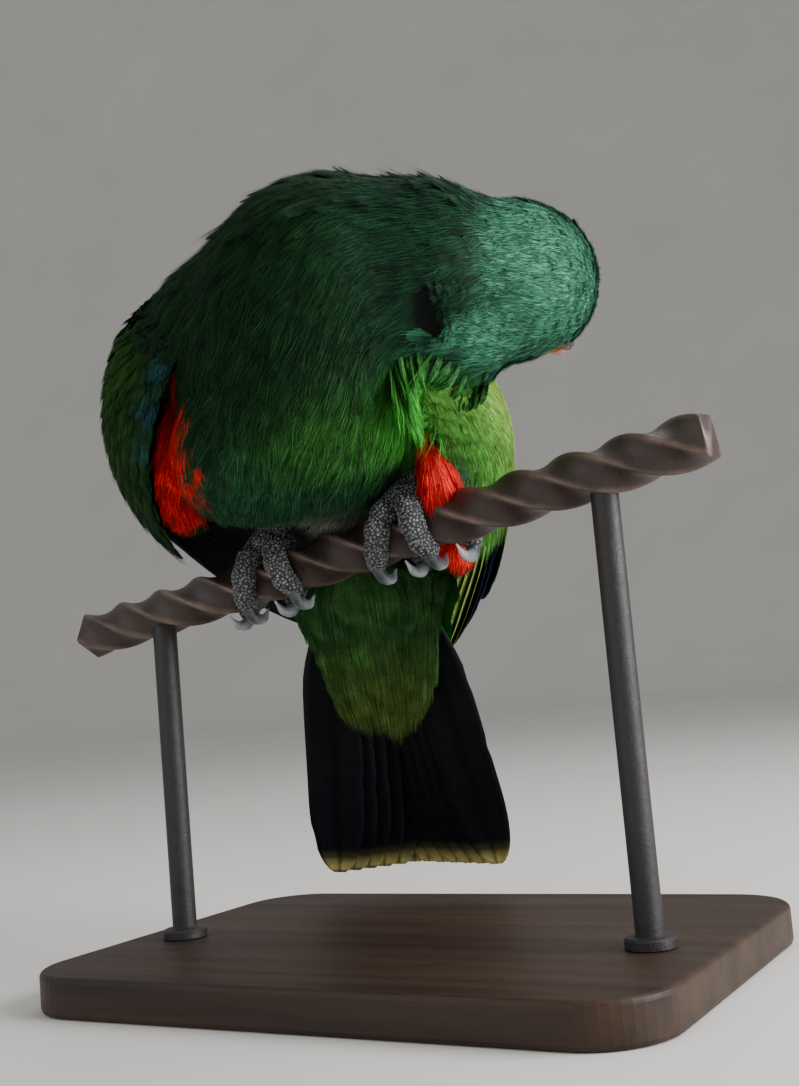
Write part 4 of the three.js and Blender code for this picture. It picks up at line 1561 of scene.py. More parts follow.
def quill(sheet: Sheet, start: tuple[float, float], end: tuple[float, float], width: float, lift: float,
          drop: float, tilt: float, top: Paint, under: Paint, rng: Random, bow: float = 0.0,
          pointed: bool = False) -> dict[str, Array]:
    """One stiff feather on a sheet, a closed thin vane with its shaft.

    Args:
        sheet: the sheet that it follows.
        start, end: u and v of its root and tip.
        width: across the vane at its widest.
        lift, drop: height over the sheet at root and tip.
        tilt: turn about its length, in degrees.
        top, under: its colours above and below from shares along and across.
        rng: the seeded generator.
        bow: sideways bend.
        pointed: whether the tip is narrow.

    Returns:
        Points, faces, tint, across and along.
    """
    n, m = 26, 9
    t = 1 - (1 - np.linspace(0, 1, n)) ** 1.35
    c = np.linspace(-1, 1, m)
    spot = lambda at: (mix(start[0], end[0], at), mix(start[1], end[1], at) + bow * np.sin(np.pi * at))
    normal = sheet.normal(*spot(t))
    height = mix(lift, drop, t)
    centre = sheet.raised(*spot(t), height)
    along = unit(sheet.raised(*spot(t + 0.02), height) - centre)
    side = unit(np.cross(along, normal))
    past = np.clip(t - 0.72, 0, 1) / 0.285
    tip = np.sqrt(np.clip(1 - past ** (1.5 if pointed else 2.4), 0.012, 1))
    half = 0.5 * width * mix(0.42, 1.0, step(t, 0, 0.35)) * tip
    notch = 1 - 0.05 * (rng.random((n, 2)) > 0.86) * step(t, 0.2, 0.4)[:, None]
    edge = np.where(c[None] < 0, notch[:, :1], notch[:, 1:]) * half[:, None] * c
    cup = -0.06 * half[:, None] * c ** 2 * 1.6
    shaft = np.exp(-(c / 0.1) ** 2) * mix(0.42, 0.12, t)[:, None]
    slant = math.tan(math.radians(tilt))
    base = (centre[:, None] + side[:, None] * edge[..., None]
            + normal[:, None] * (edge * slant + cup)[..., None])
    thick = (0.2 * (1 - 0.65 * np.abs(c)))[None] + shaft
    upper = base + normal[:, None] * thick[..., None]
    lower = base - normal[:, None] * thick[..., None]
    tt, cc = np.broadcast_arrays(t[:, None], c[None])
    points = np.concatenate([upper.reshape(-1, 3), lower.reshape(-1, 3)])
    tints = np.concatenate([top(tt, cc).reshape(-1, 3), under(tt, cc).reshape(-1, 3)])
    return {"points": points, "faces": slab(n, m), "tint": tints,
            "across": np.tile(cc.ravel(), 2), "along": np.tile(tt.ravel(), 2)}


def bundle(name: str, quills: Sequence[dict[str, Array]], finish: Material, slot: str, *nodes: str) -> Piece:
    """Joins stiff feathers into one piece, each on its own strip of the bake map.

    Args:
        name: the piece's name.
        quills: the feathers.
        finish: their material.
        slot: their slot.
        nodes: what they stand for.

    Returns:
        The piece.
    """
    count = len(quills)
    points, faces = joined([(q["points"], [q["faces"]]) for q in quills])
    values = {key: np.concatenate([q[key] for q in quills]) for key in ("tint", "across", "along")}
    half = [np.arange(len(q["points"])) >= len(q["points"]) // 2 for q in quills]
    uv = np.concatenate([np.stack([(k + 0.5 + 0.2 * q["across"] + np.where(h, 0.25, -0.25)) / count,
                                   0.03 + 0.94 * q["along"]], 1)
                         for k, (q, h) in enumerate(zip(quills, half))])
    return set_down(made(name, points, faces, finish, colours=values, uv=uv), slot, *nodes)


def painted(web: Tone, inner: Tone, tip: Tone | None = None, outer_side: float = 1.0) -> Paint:
    """Colours of a stiff feather: its outer web, its inner web, a dark shaft and a pale tip.

    Args:
        web: colour of the outer web.
        inner: colour of the inner one.
        tip: colour of the end.
        outer_side: 1 or -1, the side of the outer web.

    Returns:
        Colours from shares along and across.
    """
    def colours(t: Array, c: Array) -> Array:
        """Colours of the points of the vane.

        Args:
            t: shares along.
            c: shares across.

        Returns:
            The colours.
        """
        share = step(c * outer_side, -0.15, 0.25)[..., None]
        colour = mix(tone(inner), tone(web), share)
        if tip is not None:
            colour = mix(colour, tone(tip), step(t, 0.93, 1.0)[..., None])
        return mix(colour, colour * 0.35, np.exp(-(c / 0.09) ** 2)[..., None])

    return colours


COVERT_ROWS = ((0.012, 10), (0.03, 10), (0.055, 11), (0.08, 11), (0.105, 12), (0.13, 12), (0.155, 12),
               (0.18, 13), (0.205, 13), (0.23, 14), (0.255, 15), (0.28, 17), (0.315, 20), (0.36, 27),
               (0.41, 34))


@dataclass(frozen=True)
class Wing:
    """A folded wing: its small coverts on a skin of their own, then quills in two tiers."""

    side: str
    skin_end: float = 0.46
    underside: float = 1.7
    rows: int = 30
    columns: int = 26
    tier: int = 9
    primary_width: float = 15.0
    secondary_width: float = 17.0

    @property
    def sheet(self) -> Sheet:
        """The sheet in which its feathers lie."""
        return SHEETS[self.side]

    @property
    def out(self) -> float:
        """1 on the bird's right and -1 on its left."""
        return 1.0 if self.side == "right" else -1.0

    def grid(self) -> Sequence[Array]:
        """Shares along and across at the points of the coverts' skin."""
        along, across = np.linspace(0.02, self.skin_end, self.rows), np.linspace(0.0, 1.0, self.columns)
        return np.meshgrid(along, across, indexing="ij")

    def shell(self) -> tuple[Array, Array]:
        """The outside of the coverts' skin.

        Returns:
            The points and the faces.
        """
        u, v = self.grid()
        faces = grid_faces(self.rows, self.columns)
        outside = self.sheet.raised(u, v, self.height(u, v)).reshape(-1, 3)
        return outside, faces[:, ::-1] if self.out > 0 else faces

    def height(self, u: Array, v: Array) -> Array:
        """Height of the coverts' skin over the sheet, low at its rim.

        Args:
            u: shares from roots to tips.
            v: shares across.

        Returns:
            The heights.
        """
        u, v = np.clip(u, 0.0, self.skin_end), np.clip(v, 0.0, 1.0)
        swell = np.sin(np.pi * v) ** 0.6 * np.cos(np.pi * u) ** 0.5
        rim = np.clip(4 * v * (1 - v), 0, 1) ** 0.5 * np.clip((u - 0.01) / 0.07, 0, 1) ** 0.5
        return mix(2.1, 3.6 + 2.6 * swell, rim)

    def colour(self, u: Array, v: Array) -> Array:
        """The colour of the coverts: green, blue along the leading edge, yellower to the outside; the right
        wing's green is painted far darker as shade.

        Args:
            u: shares from roots to tips.
            v: shares across.

        Returns:
            The colours.
        """
        left = self.side == "left"
        # The right wing's green is cut to a fifth to a half: painted shade on the wing turned from the light.
        depth = np.full(len(u), 0.95) if left else mix(0.2, 0.5, step(v, 0.12, 0.55))
        base = depth[:, None] * tone(Tone.WING)
        pale = (step(v, 0.1, 0.7) * (0.6 if left else 0.03))[:, None]
        base = mix(base, tone(Tone.WING_EDGE), pale)
        edge = (1 - step(v, 0.03, 0.11)) * (step(u, 0.16, 0.3) if left else 1 - 0.8 * step(u, 0.1, 0.24))
        edge *= 0.6 + 0.4 * np.sin(80 * u + 9 * v)
        return mix(base, tone(Tone.BLUE if left else Tone.TURQUOISE), 0.85 * edge[:, None])

    def build(self, soft: Material, stiff: Material, rng: Random) -> None:
        """Builds the wing's three pieces.

        Args:
            soft, stiff: finishes of coverts and quills.
            rng: the seeded generator.
        """
        self.cover(soft)
        self.small(soft, rng)
        self.quills(stiff, rng)

    def cover(self, finish: Material) -> None:
        """The skin under the coverts.

        Args:
            finish: its material.
        """
        u, v = self.grid()
        upper = self.sheet.raised(u, v, self.height(u, v)).reshape(-1, 3)
        lower = self.sheet.raised(u, v, np.full(u.shape, self.underside)).reshape(-1, 3)
        faces = slab(self.rows, self.columns)
        if self.out > 0:
            faces = faces[:, ::-1]
        tint = np.tile(self.colour(u.ravel(), v.ravel()) * 0.7, (2, 1))
        piece = made(f"wing_{self.side}_skin", np.concatenate([upper, lower]), [faces], finish,
                     colours={"tint": tint}, uv=halves(u / self.skin_end, v))
        set_down(piece, "wing_coverts", f"wing_{self.side}_coverts")

    def small(self, finish: Material, rng: Random) -> None:
        """The coverts, from the leading edge's smallest to the long row over the quills.

        Args:
            finish: their material.
            rng: the seeded generator.
        """
        u, v, length, width = [], [], [], []
        for start, size in COVERT_ROWS:
            count = int(round(34 - 0.62 * size))
            shift = 0.5 * (len(u) % 2)
            for k in range(count):
                v.append(-0.01 + 1.03 * (k + 0.5 + 0.3 * (shift - 0.25)) / count)
                u.append(start + 0.012 * rng.standard_normal())
                length.append(size * (0.92 + 0.16 * rng.random()))
                width.append(max(2.9, 0.23 * size) * (0.9 + 0.2 * rng.random()))
        u, v, length, width = (np.array(x) for x in (u, v, length, width))
        u = np.clip(u, 0.0, 0.6)
        reach = length / WING_LENGTH
        lean = -0.3 * reach
        spots = [(u + share * reach, v + share * lean) for share in (0.0, 0.5, 1.0)]
        places = [self.sheet.raised(a, b, self.height(a, b) + 0.5 * k) for k, (a, b) in enumerate(spots)]
        normals = [self.sheet.normal(a, b) for a, b in spots]
        colour = self.colour(u, v) * np.exp(0.12 * rng.standard_normal((len(u), 1)))
        tip = mix(colour, tone(Tone.WING_EDGE), 0.18 if self.side == "left" else 0.03) * 1.1
        uv = np.stack([0.02 + 0.96 * u / 0.6, 0.02 + 0.96 * v], 1)
        feathers = Feathers(*places, *normals, width, 0.5 + 0.3 * rng.random(len(u)), colour, tip, uv,
                            strands=46, strand_width=0.26, fray=0.7, streak=0.3)
        points, faces, tints, maps = feathers.build(rng)
        set_down(made(f"wing_{self.side}_coverts_coat", points, faces, finish, colours={"tint": tints},
                      uv=maps, smooth=False), "wing_coverts")

    def quills(self, finish: Material, rng: Random) -> None:
        """Primaries below, secondaries over them.

        Args:
            finish: their material.
            rng: the seeded generator.
        """
        tilt = -9 * self.out
        # The right wing's secondaries take the darker WING_SHADE green: painted shade.
        pale, green = (Tone.WING_EDGE, Tone.WING) if self.side == "left" else (Tone.BLUE, Tone.WING_SHADE)
        under = painted(Tone.QUILL_UNDER, Tone.QUILL_UNDER)
        found = []
        for m in range(self.tier):
            share = m / (self.tier - 1)
            start, end = (0.3, 0.1 + 0.3 * share), (1.0 - 0.15 * share, 0.16 + 0.5 * share)
            top = painted(pale if m < 4 else Tone.BLUE, Tone.QUILL, None, -self.out)
            found.append(quill(self.sheet, start, end, self.primary_width, -1.2 + 0.5 * share,
                               -2.2 + 4.5 * share, 1.3 * tilt, top, under, rng, -0.04, True))
        for m in range(self.tier):
            share = m / (self.tier - 1)
            start, end = (0.33, 0.42 + 0.46 * share), (0.8 - 0.06 * share, 0.42 + 0.48 * share)
            top = painted(green, green if m > 5 else Tone.QUILL, None, -self.out)
            found.append(quill(self.sheet, start, end, self.secondary_width, 1 + 0.4 * share,
                               3.4 + 0.3 * share, tilt, top, under, rng))
        bundle(f"wing_{self.side}_quills", found, finish, "quills", f"wing_{self.side}_flight")


@dataclass(frozen=True)
class Tuft:
    """The soft feathers on one side of the tail's root: a rounded core and the feathers over it."""

    name: str
    side: float
    dome: float
    clear: float
    edges: tuple[float, float]
    colour: Tone
    olive: float
    rows: tuple[tuple[float, float], ...]
    steps: tuple[int, int] = (22, 24)
    core_end: float = 0.38

    def height(self, a: Array, b: Array) -> Array:
        """Height of the core's outside over the sheet."""
        fall = 1 - 0.45 * np.clip(a / 0.34, 0, 1)
        return self.clear + self.dome * np.sin(np.pi * np.clip(b, 0.01, 0.99)) ** 0.6 * fall

    def over(self, a: Array, b: Array) -> Array:
        """Height of the feathers' middles over the sheet: on the core, and sinking beyond its end.

        Args:
            a: shares from root to tip.
            b: shares across.

        Returns:
            The heights.
        """
        last = self.height(np.full(a.shape, 0.36), b) - self.clear
        fade = 1 - 0.62 * step(a, 0.34, 0.72)
        return np.where(a < 0.36, self.height(a, b), self.clear + last * fade)

    def build(self, finish: Material, rng: Random) -> None:
        """Builds the core and its feathers."""
        self.core(finish)
        self.coat(finish, rng)

    def core(self, finish: Material) -> None:
        """The rounded core.

        Args:
            finish: its material.
        """
        sheet = SHEETS["tail_coverts"]
        along = np.linspace(0.0, self.core_end, self.steps[0])
        u, v = np.meshgrid(along, np.linspace(*self.edges, self.steps[1]), indexing="ij")
        outer = sheet.raised(u, v, self.side * self.height(u, v)).reshape(-1, 3)
        inner = sheet.raised(u, v, self.side * np.full(u.shape, self.clear - 0.4)).reshape(-1, 3)
        tint = np.tile(tone(self.colour) * 0.6, (2 * u.size, 1))
        piece = made(f"{self.name}_skin", np.concatenate([outer, inner]), [slab(*self.steps)], finish,
                     colours={"tint": tint}, uv=halves(u / self.core_end, v))
        set_down(piece, "tail_coverts", f"{self.name}_coverts")

    def coat(self, finish: Material, rng: Random) -> None:
        """The feathers over the core, in rows from the root outwards.

        Args:
            finish: their material.
            rng: the seeded generator.
        """
        sheet = SHEETS["tail_coverts"]
        u, v, length = [], [], []
        for k, (start, size) in enumerate(self.rows):
            count = 15 - k
            for j in range(count):
                place = (j + 0.5) / count
                u.append(start + 0.01 * rng.standard_normal())
                v.append(mix(0.5, place, 1.04 - 0.04 * k) + 0.012 * rng.standard_normal())
                length.append(size * (0.9 + 0.2 * rng.random()) * (1 - 0.25 * abs(2 * place - 1) ** 2))
        u, v, length = np.array(u), np.array(v), np.array(length)
        reach = length / TAIL_LENGTH
        toward = (0.5 - v) * np.clip(reach / 0.35, 0, 1) * 0.15
        spots = [(u + share * reach, v + share * toward) for share in (0.0, 0.5, 1.0)]
        places = [sheet.raised(a, b, self.side * (self.over(a, b) + 0.4 * k))
                  for k, (a, b) in enumerate(spots)]
        normals = [sheet.normal(a, b) * self.side for a, b in spots]
        colour = tone(self.colour) * np.exp(0.15 * rng.standard_normal((len(u), 1)))
        tip = mix(colour, tone(Tone.OLIVE), self.olive * step(spots[2][0], 0.18, 0.52)[:, None])
        uv = np.stack([0.02 + 0.9 * u / 0.4, 0.05 + 0.9 * np.clip(v, 0, 1)], 1)
        feathers = Feathers(*places, *normals, np.clip(0.2 * length, 4.4, 7.5),
                            0.8 + 1.6 * rng.random(len(u)), colour * 0.6, tip * 1.15, uv, strands=52,
                            strand_width=0.42, fray=0.6, streak=0.22)
        points, faces, tints, maps = feathers.build(rng)
        piece = made(f"{self.name}_coat", points, faces, finish, colours={"tint": tints}, uv=maps,
                     smooth=False)
        set_down(piece, "tail_coverts")


UNDERTAIL = Tuft("undertail", -1, 9.0, 7.6, (0.03, 0.97), Tone.VENT, 0.85,
                 ((0.0, 22), (0.04, 24), (0.08, 26), (0.12, 28), (0.17, 30), (0.22, 32), (0.27, 32)))
UPPERTAIL = Tuft("uppertail", 1, 6.0, 4.4, (0.15, 0.85), Tone.WING, 0.2,
                 ((0.0, 16), (0.04, 18), (0.08, 20), (0.13, 22), (0.18, 24), (0.23, 28), (0.28, 32)))


@dataclass(frozen=True)
class Tail:
    """Twelve quills in a fan, and the soft feathers over and under their roots."""

    count: int = 12
    width: float = 20.0
    tufts: tuple[Tuft, ...] = (UNDERTAIL, UPPERTAIL)

    @staticmethod
    def dorsal(side: float) -> Paint:
        """Colours of a quill from above: green, bluer in the outer pairs and towards the pale tip.

        Args:
            side: how far out the quill stands, 0 to 1.

        Returns:
            Colours from shares along and across.
        """
        def colours(t: Array, c: Array) -> Array:
            """Colours of the points of the vane.

            Args:
                t: shares along.
                c: shares across.

            Returns:
                The colours.
            """
            share = (step(t, 0.35, 1.0) * (0.25 + 0.75 * side))[..., None]
            colour = mix(tone(Tone.WING), tone(Tone.BLUE), share)
            colour = mix(colour, tone(Tone.PALE_TIP), step(t, 0.955, 1.0)[..., None])
            return mix(colour, colour * 0.35, np.exp(-(c / 0.07) ** 2)[..., None])

        return colours

    def build(self, soft: Material, stiff: Material, rng: Random) -> None:
        """Builds the tail's pieces.

        Args:
            soft, stiff: finishes of coverts and quills.
            rng: the seeded generator.
        """
        found = []
        middle = 0.5 * (self.count - 1)
        under = painted(Tone.QUILL_UNDER, Tone.QUILL_UNDER, Tone.PALE_TIP)
        for m in range(self.count):
            place = (m - middle) / middle
            rank = 2 * abs(m - middle) - (0.5 if m > middle else 1)
            height = 2.4 - 0.75 * rank
            start, end = (0.06, 0.5 + 0.27 * place), (1 - 0.05 * abs(place) ** 1.6, 0.5 + 0.36 * place)
            found.append(quill(SHEETS["tail"], start, end, self.width, height, height, 0,
                               self.dorsal(abs(place)), under, rng))
        bundle("tail_quills", found, stiff, "quills", "tail")
        for tuft in self.tufts:
            tuft.build(soft, rng)


# Bill, eyes, feet

@dataclass(frozen=True)
class Face:
    """Bill, nostrils, eyes and lids, in the head's frame."""

    eye: tuple[float, float, float] = (15.9, -7.0, 7.2)
    eye_radius: float = 5.2
    lid_rings: tuple[tuple[float, float], ...] = ((4.35, 0.5), (5.35, 0.75))

    @staticmethod
    def bare(p: Array) -> Array:
        """Above 0 where feathers grow: outside the bill's base and the lids.

        Args:
            p: the points.

        Returns:
            About 0 at the bare parts' rim.
        """
        upper = np.hypot(p[:, 0] / 10.0, (p[:, 2] - 3) / 11.5) - 1
        lower = np.hypot(p[:, 0] / 9.0, (p[:, 2] + 11) / 7.5) - 1
        bill = np.where(p[:, 1] < -9, np.minimum(upper, lower), 1.0)
        mirrored = np.stack([np.abs(p[:, 0]), p[:, 1], p[:, 2]], 1)
        eyes = np.linalg.norm(mirrored - np.array(Face.eye), axis=1) / 6.6 - 1
        return np.minimum(bill, eyes)

    def build(self, bill: Material, dark_bill: Material, eyeball: Material, lid: Material) -> None:
        """Builds each piece of the face.

        Args:
            bill, dark_bill: finishes of upper and lower bill.
            eyeball, lid: finishes of the eyes.
        """
        upper = swept(((0, -12, 2), (0, -20, 3.5), (0, -29, 1.5), (0, -35.5, -6), (0, -35.5, -15),
                       (0, -32, -22)),
                      ((9, 10.5), (9, 10.5), (8, 9), (5.8, 6.2), (3.3, 3.7), (0.7, 0.9)), (1, 0, 0), 48, 14)
        lower = swept(((0, -8, -9), (0, -16, -12), (0, -23, -15), (0, -28.5, -14)),
                      ((8.6, 6.6), (8.4, 6.4), (6.8, 4.8), (3.4, 1.6)), (1, 0, 0), 28, 8)
        points, faces = ladder(upper)
        self.horn("bill_upper", self.shaped(points), faces, upper, bill, "bill_orange", "upper_bill")
        points, faces = ladder(lower)
        self.horn("bill_lower", points, faces, lower, dark_bill, "bill_black", "lower_bill")
        for side, sign in (("left", 1.0), ("right", -1.0)):
            centre = np.array(self.eye) * [sign, 1, 1]
            out = unit(np.array([sign, -0.2, 0.1]))
            self.ball(side, centre, out, eyeball)
            self.lids(side, centre, out, lid)

    @staticmethod
    def horn(name: str, points: Array, faces: list[Array], rings: Array, finish: Material,
             slot: str, node: str) -> None:
        """Sets down one half of the bill, made of some rings in the head's frame."""
        along = np.repeat(np.linspace(0, 1, len(rings)), rings.shape[1])
        set_down(made(name, from_head(points), faces, finish, colours={"along": along}), slot, node)

    @staticmethod
    def shaped(points: Array) -> Array:
        """The upper bill's keel, its flat sides, the step of the cere and the nostrils.

        Args:
            points: the plain bill's points.

        Returns:
            The carved points.
        """
        points = points.copy()
        height = points[:, 2] - np.interp(-points[:, 1], (12, 20, 29, 35.5), (2, 3.5, 1.5, -10))
        points[:, 0] *= 1 - 0.16 * step(height, 2, 10) - 0.06 * step(-height, 2, 9)
        cere = step(points[:, 1], -16.6, -15.4)[:, None]
        points = mix(points, np.array([0, -14.0, 2.0]) + (points - [0, -14.0, 2.0]) * [1.05, 1.0, 1.05], cere)
        for x in (-4.6, 4.6):
            gap = np.linalg.norm(points - np.array([x, -16.5, 13.0]), axis=1)
            points = points - (points - np.array([0, -16.5, 2])) * (0.2 * np.exp(-(gap / 1.5) ** 2))[:, None]
        return points

    def ball(self, side: str, centre: Array, out: Array, finish: Material) -> None:
        """The eyeball, with its cornea a little proud.

        Args:
            side: left or right.
            centre: its middle.
            out: where it looks.
            finish: its material.
        """
        n, m = 20, 32
        away = unit(np.cross(out, [0, 0, 1.0]))
        up = np.cross(away, out)
        angle = np.linspace(0.02, np.pi - 0.02, n)[:, None]
        turn = np.linspace(0, 2 * np.pi, m, endpoint=False)[None]
        radius = self.eye_radius * (1 + 0.045 * np.exp(-(angle / 0.5) ** 2))
        level, ring = radius * np.cos(angle), radius * np.sin(angle)
        rings = (centre + level[..., None] * out + (ring * np.cos(turn))[..., None] * away
                 + (ring * np.sin(turn))[..., None] * up)
        points, faces = ladder(rings)
        along = np.repeat(angle.ravel() / np.pi * 1.35, m)
        set_down(made(f"eyeball_{side}", from_head(points), faces, finish, colours={"along": along}), "eye",
                 f"eye_{side}")

    def lids(self, side: str, centre: Array, out: Array, finish: Material) -> None:
        """Two folded rings of bare skin round the eye.

        Args:
            side: left or right.
            centre: the eyeball's middle.
            out: where it looks.
            finish: their material.
        """
        away = unit(np.cross(out, [0, 0, 1.0]))
        up = np.cross(away, out)
        bodies = []
        for radius, thick in self.lid_rings:
            turn = np.linspace(0, 2 * np.pi, 56, endpoint=False)[:, None]
            angle = np.linspace(0, 2 * np.pi, 10, endpoint=False)[None]
            wrinkle = 1 + 0.12 * np.sin(9 * turn + radius)
            size = thick * wrinkle
            r = radius + size * np.cos(angle)
            seat = radius * np.hypot(np.cos(turn), 0.86 * np.sin(turn))
            rise = np.maximum(1.7, np.sqrt(np.clip(self.eye_radius ** 2 - seat ** 2, 0, None)) + 0.12)
            rings = (centre + out * rise[..., None] + (r * np.cos(turn))[..., None] * away
                     + (0.86 * r * np.sin(turn))[..., None] * up + (size * np.sin(angle))[..., None] * out)
            a = np.arange(rings.shape[0] * rings.shape[1]).reshape(rings.shape[:2])
            b = np.roll(a, -1, 1)
            quads = np.stack([a, np.roll(a, -1, 0), np.roll(b, -1, 0), b], -1).reshape(-1, 4)
            bodies.append((from_head(rings.reshape(-1, 3)), [quads]))
        points, faces = joined(bodies)
        set_down(made(f"eyelids_{side}", points, faces, finish), "foot_skin")


@dataclass(frozen=True)
class Scales:
    """Beaded scales over bare skin, strewn and set by Geometry Nodes."""

    spacing: float = 0.00088
    width: float = 0.00047
    seed: int = 3

    def tree(self) -> bpy.types.NodeTree:
        """The node group: points over the surface, a flat bead on each, realised and given its finish.

        Returns:
            The node group.
        """
        tree = bpy.data.node_groups.new("beaded_scales", "GeometryNodeTree")
        face = tree.interface
        face.new_socket("Skin", in_out="INPUT", socket_type="NodeSocketGeometry")
        for name, kind in (("Spacing", "NodeSocketFloat"), ("Width", "NodeSocketFloat"),
                           ("Seed", "NodeSocketInt"), ("Finish", "NodeSocketMaterial")):
            face.new_socket(name, in_out="INPUT", socket_type=kind)
        face.new_socket("Geometry", in_out="OUTPUT", socket_type="NodeSocketGeometry")

        def node(kind: str, settings: dict[str, object], inputs: dict[str | int, object]) -> bpy.types.Node:
            """Adds a node, its own settings first, then its sockets.

            Args:
                kind: its type.
                settings: its own settings.
                inputs: values or links by socket.

            Returns:
                The node.
            """
            made_node = tree.nodes.new(kind)
            for key, value in settings.items():
                setattr(made_node, key, value)
            for key, value in inputs.items():
                if isinstance(value, bpy.types.NodeSocket):
                    tree.links.new(value, made_node.inputs[key])
                else:
                    made_node.inputs[key].default_value = value
            return made_node

        given = node("NodeGroupInput", {}, {}).outputs
        strewn = node("GeometryNodeDistributePointsOnFaces", {"distribute_method": "POISSON"},
                      {"Mesh": given["Skin"], "Distance Min": given["Spacing"], "Density Max": 3.0e6,
                       "Density Factor": 1.0, "Seed": given["Seed"]})
        ball = node("GeometryNodeMeshIcoSphere", {}, {"Radius": 1.0, "Subdivisions": 2})
        bead = node("GeometryNodeSetShadeSmooth", {}, {"Geometry": ball.outputs["Mesh"]})
        size = node("FunctionNodeRandomValue", {"data_type": "FLOAT"},
                    {2: 0.7, 3: 1.15, "Seed": given["Seed"]})
        width = node("ShaderNodeMath", {"operation": "MULTIPLY"}, {0: given["Width"], 1: size.outputs[1]})
        flat = node("ShaderNodeMath", {"operation": "MULTIPLY"}, {0: given["Width"], 1: 0.5})
        scale = node("ShaderNodeCombineXYZ", {}, {"X": width.outputs[0], "Y": width.outputs[0],
                                                  "Z": flat.outputs[0]})
        set_on = node("GeometryNodeInstanceOnPoints", {},
                      {"Points": strewn.outputs["Points"], "Instance": bead.outputs[0],
                       "Rotation": strewn.outputs["Rotation"], "Scale": scale.outputs[0]})
        real = node("GeometryNodeRealizeInstances", {}, {"Geometry": set_on.outputs[0]})
        dressed = node("GeometryNodeSetMaterial", {},
                       {"Geometry": real.outputs[0], "Material": given["Finish"]})
        node("NodeGroupOutput", {}, {0: dressed.outputs[0]})
        return tree

    def grow(self, name: str, flesh: Piece, finish: Material) -> Piece:
        """Makes the scales of a piece as a piece of their own.

        Args:
            name: name of the new piece.
            flesh: the piece that they lie on.
            finish: their material.

        Returns:
            The new piece.
        """
        piece = bpy.data.objects.new(name, flesh.data.copy())
        bpy.context.scene.collection.objects.link(piece)
        modifier = piece.modifiers.new("scales", "NODES")
        modifier.node_group = self.tree()
        wanted = {"Spacing": self.spacing, "Width": self.width, "Seed": self.seed, "Finish": finish}
        for item in modifier.node_group.interface.items_tree:
            if item.item_type == "SOCKET" and item.in_out == "INPUT" and item.name in wanted:
                modifier[item.identifier] = wanted[item.name]
        seen = piece.evaluated_get(bpy.context.evaluated_depsgraph_get())
        mesh = bpy.data.meshes.new_from_object(seen)
        piece.modifiers.clear()
        piece.data = mesh
        return piece


@dataclass(frozen=True)
class Toe:
    """One toe: its shift along the bar, whether it goes behind, and how far round it reaches."""

    shift: float
    behind: bool
    reach: float


@dataclass(frozen=True)
class Foot:
    """A foot that grips the bar."""

    side: str
    centre: float
    ankle: tuple[float, float, float]
    toes: tuple[Toe, ...]

    @staticmethod
    def by_bar(along: float, angle: float, out: float) -> Array:
        """A point given along the bar and round it: 0 in front, 90 on top, 180 behind."""
        a = math.radians(angle)
        return BAR_MATRIX @ np.array([along, -out * math.cos(a), out * math.sin(a)])

    def build(self, hide: Material, bead: Material, horn: Material) -> None:
        """Builds the flesh with its scales, and the claws.

        Args:
            hide, bead, horn: finishes of skin, scales and claws.
        """
        sole = self.by_bar(self.centre, 90, 11)
        parts = [cone(self.ankle, sole, 4.6, 5, 0.3), ellipsoid(sole, (7.5, 8, 4.6))]
        claws = []
        for toe in self.toes:
            round_to = lambda angle, t=toe: 180 - angle + t.reach if t.behind else angle - t.reach
            path = []
            for s, angle in enumerate((90, 52, 14, -20, -46)):
                along = self.centre + mix(0.35 * toe.shift, toe.shift, s / 4)
                path.append(self.by_bar(along, 90 if s == 0 else round_to(angle),
                                        TOE_OUT + (1 if s == 0 else 0)))
            for s in range(4):
                parts.append(cone(path[s], path[s + 1], 4 - 0.25 * s - 0.25, 3.75 - 0.25 * s - 0.25, 0.45))
            hook = [self.by_bar(self.centre + toe.shift, round_to(angle), TOE_OUT + out)
                    for angle, out in zip((-42, -66, -92, -116), (0.4, 2.5, 2.4, 0.4))]
            rings = swept(hook, ((2.1, 2.5), (1.8, 2.2), (1.1, 1.5), (0.3, 0.35)),
                          BAR_MATRIX @ np.array([1.0, 0, 0]), 14, 6)
            claws.append(rings)
        flesh = blend(1.5, *parts)
        low, high = sole - [26, 26, 32], sole + [26, 26, 26]
        points, faces = net(lambda p: np.maximum(flesh(p), 0.1 - bar_form(p)), low, high, 0.85)
        points = smoothed(points, faces, 1, 0.3)
        piece = made(f"foot_{self.side}_flesh", points, [faces], hide)
        scales = Scales(seed=3 if self.side == "left" else 5).grow(f"foot_{self.side}_scales", piece, bead)
        set_down(piece, "foot_skin", f"foot_{self.side}")
        set_down(scales, "foot_skin")
        bodies = [ladder(r) for r in claws]
        points, faces = joined(bodies)
        along = np.concatenate([np.repeat(np.linspace(0, 1, len(r)), r.shape[1]) for r in claws])
        set_down(made(f"claws_{self.side}", points, faces, horn, colours={"along": along}), "claw",
                 *[f"claw_{self.side}_{m + 1}" for m in range(4)])


BAR_MATRIX = turned("z", -math.degrees(BODY_YAW)) @ turned("y", -math.degrees(PERCH_TILT))


def bar_form(p: Array) -> Array:
    """The field of the twisted square bar, in the bird's frame.

    Args:
        p: points.

    Returns:
        Distances, below 0 inside.
    """
    q = p @ BAR_MATRIX
    turn = 2 * np.pi * q[:, 0] / BAR_PITCH
    y = q[:, 1] * np.cos(turn) + q[:, 2] * np.sin(turn)
    z = -q[:, 1] * np.sin(turn) + q[:, 2] * np.cos(turn)
    half, round_off = 0.5 * BAR_SIDE - 1.2, 1.2
    a, b = np.abs(y) - half, np.abs(z) - half
    return np.hypot(np.maximum(a, 0), np.maximum(b, 0)) + np.minimum(np.maximum(a, b), 0) - round_off


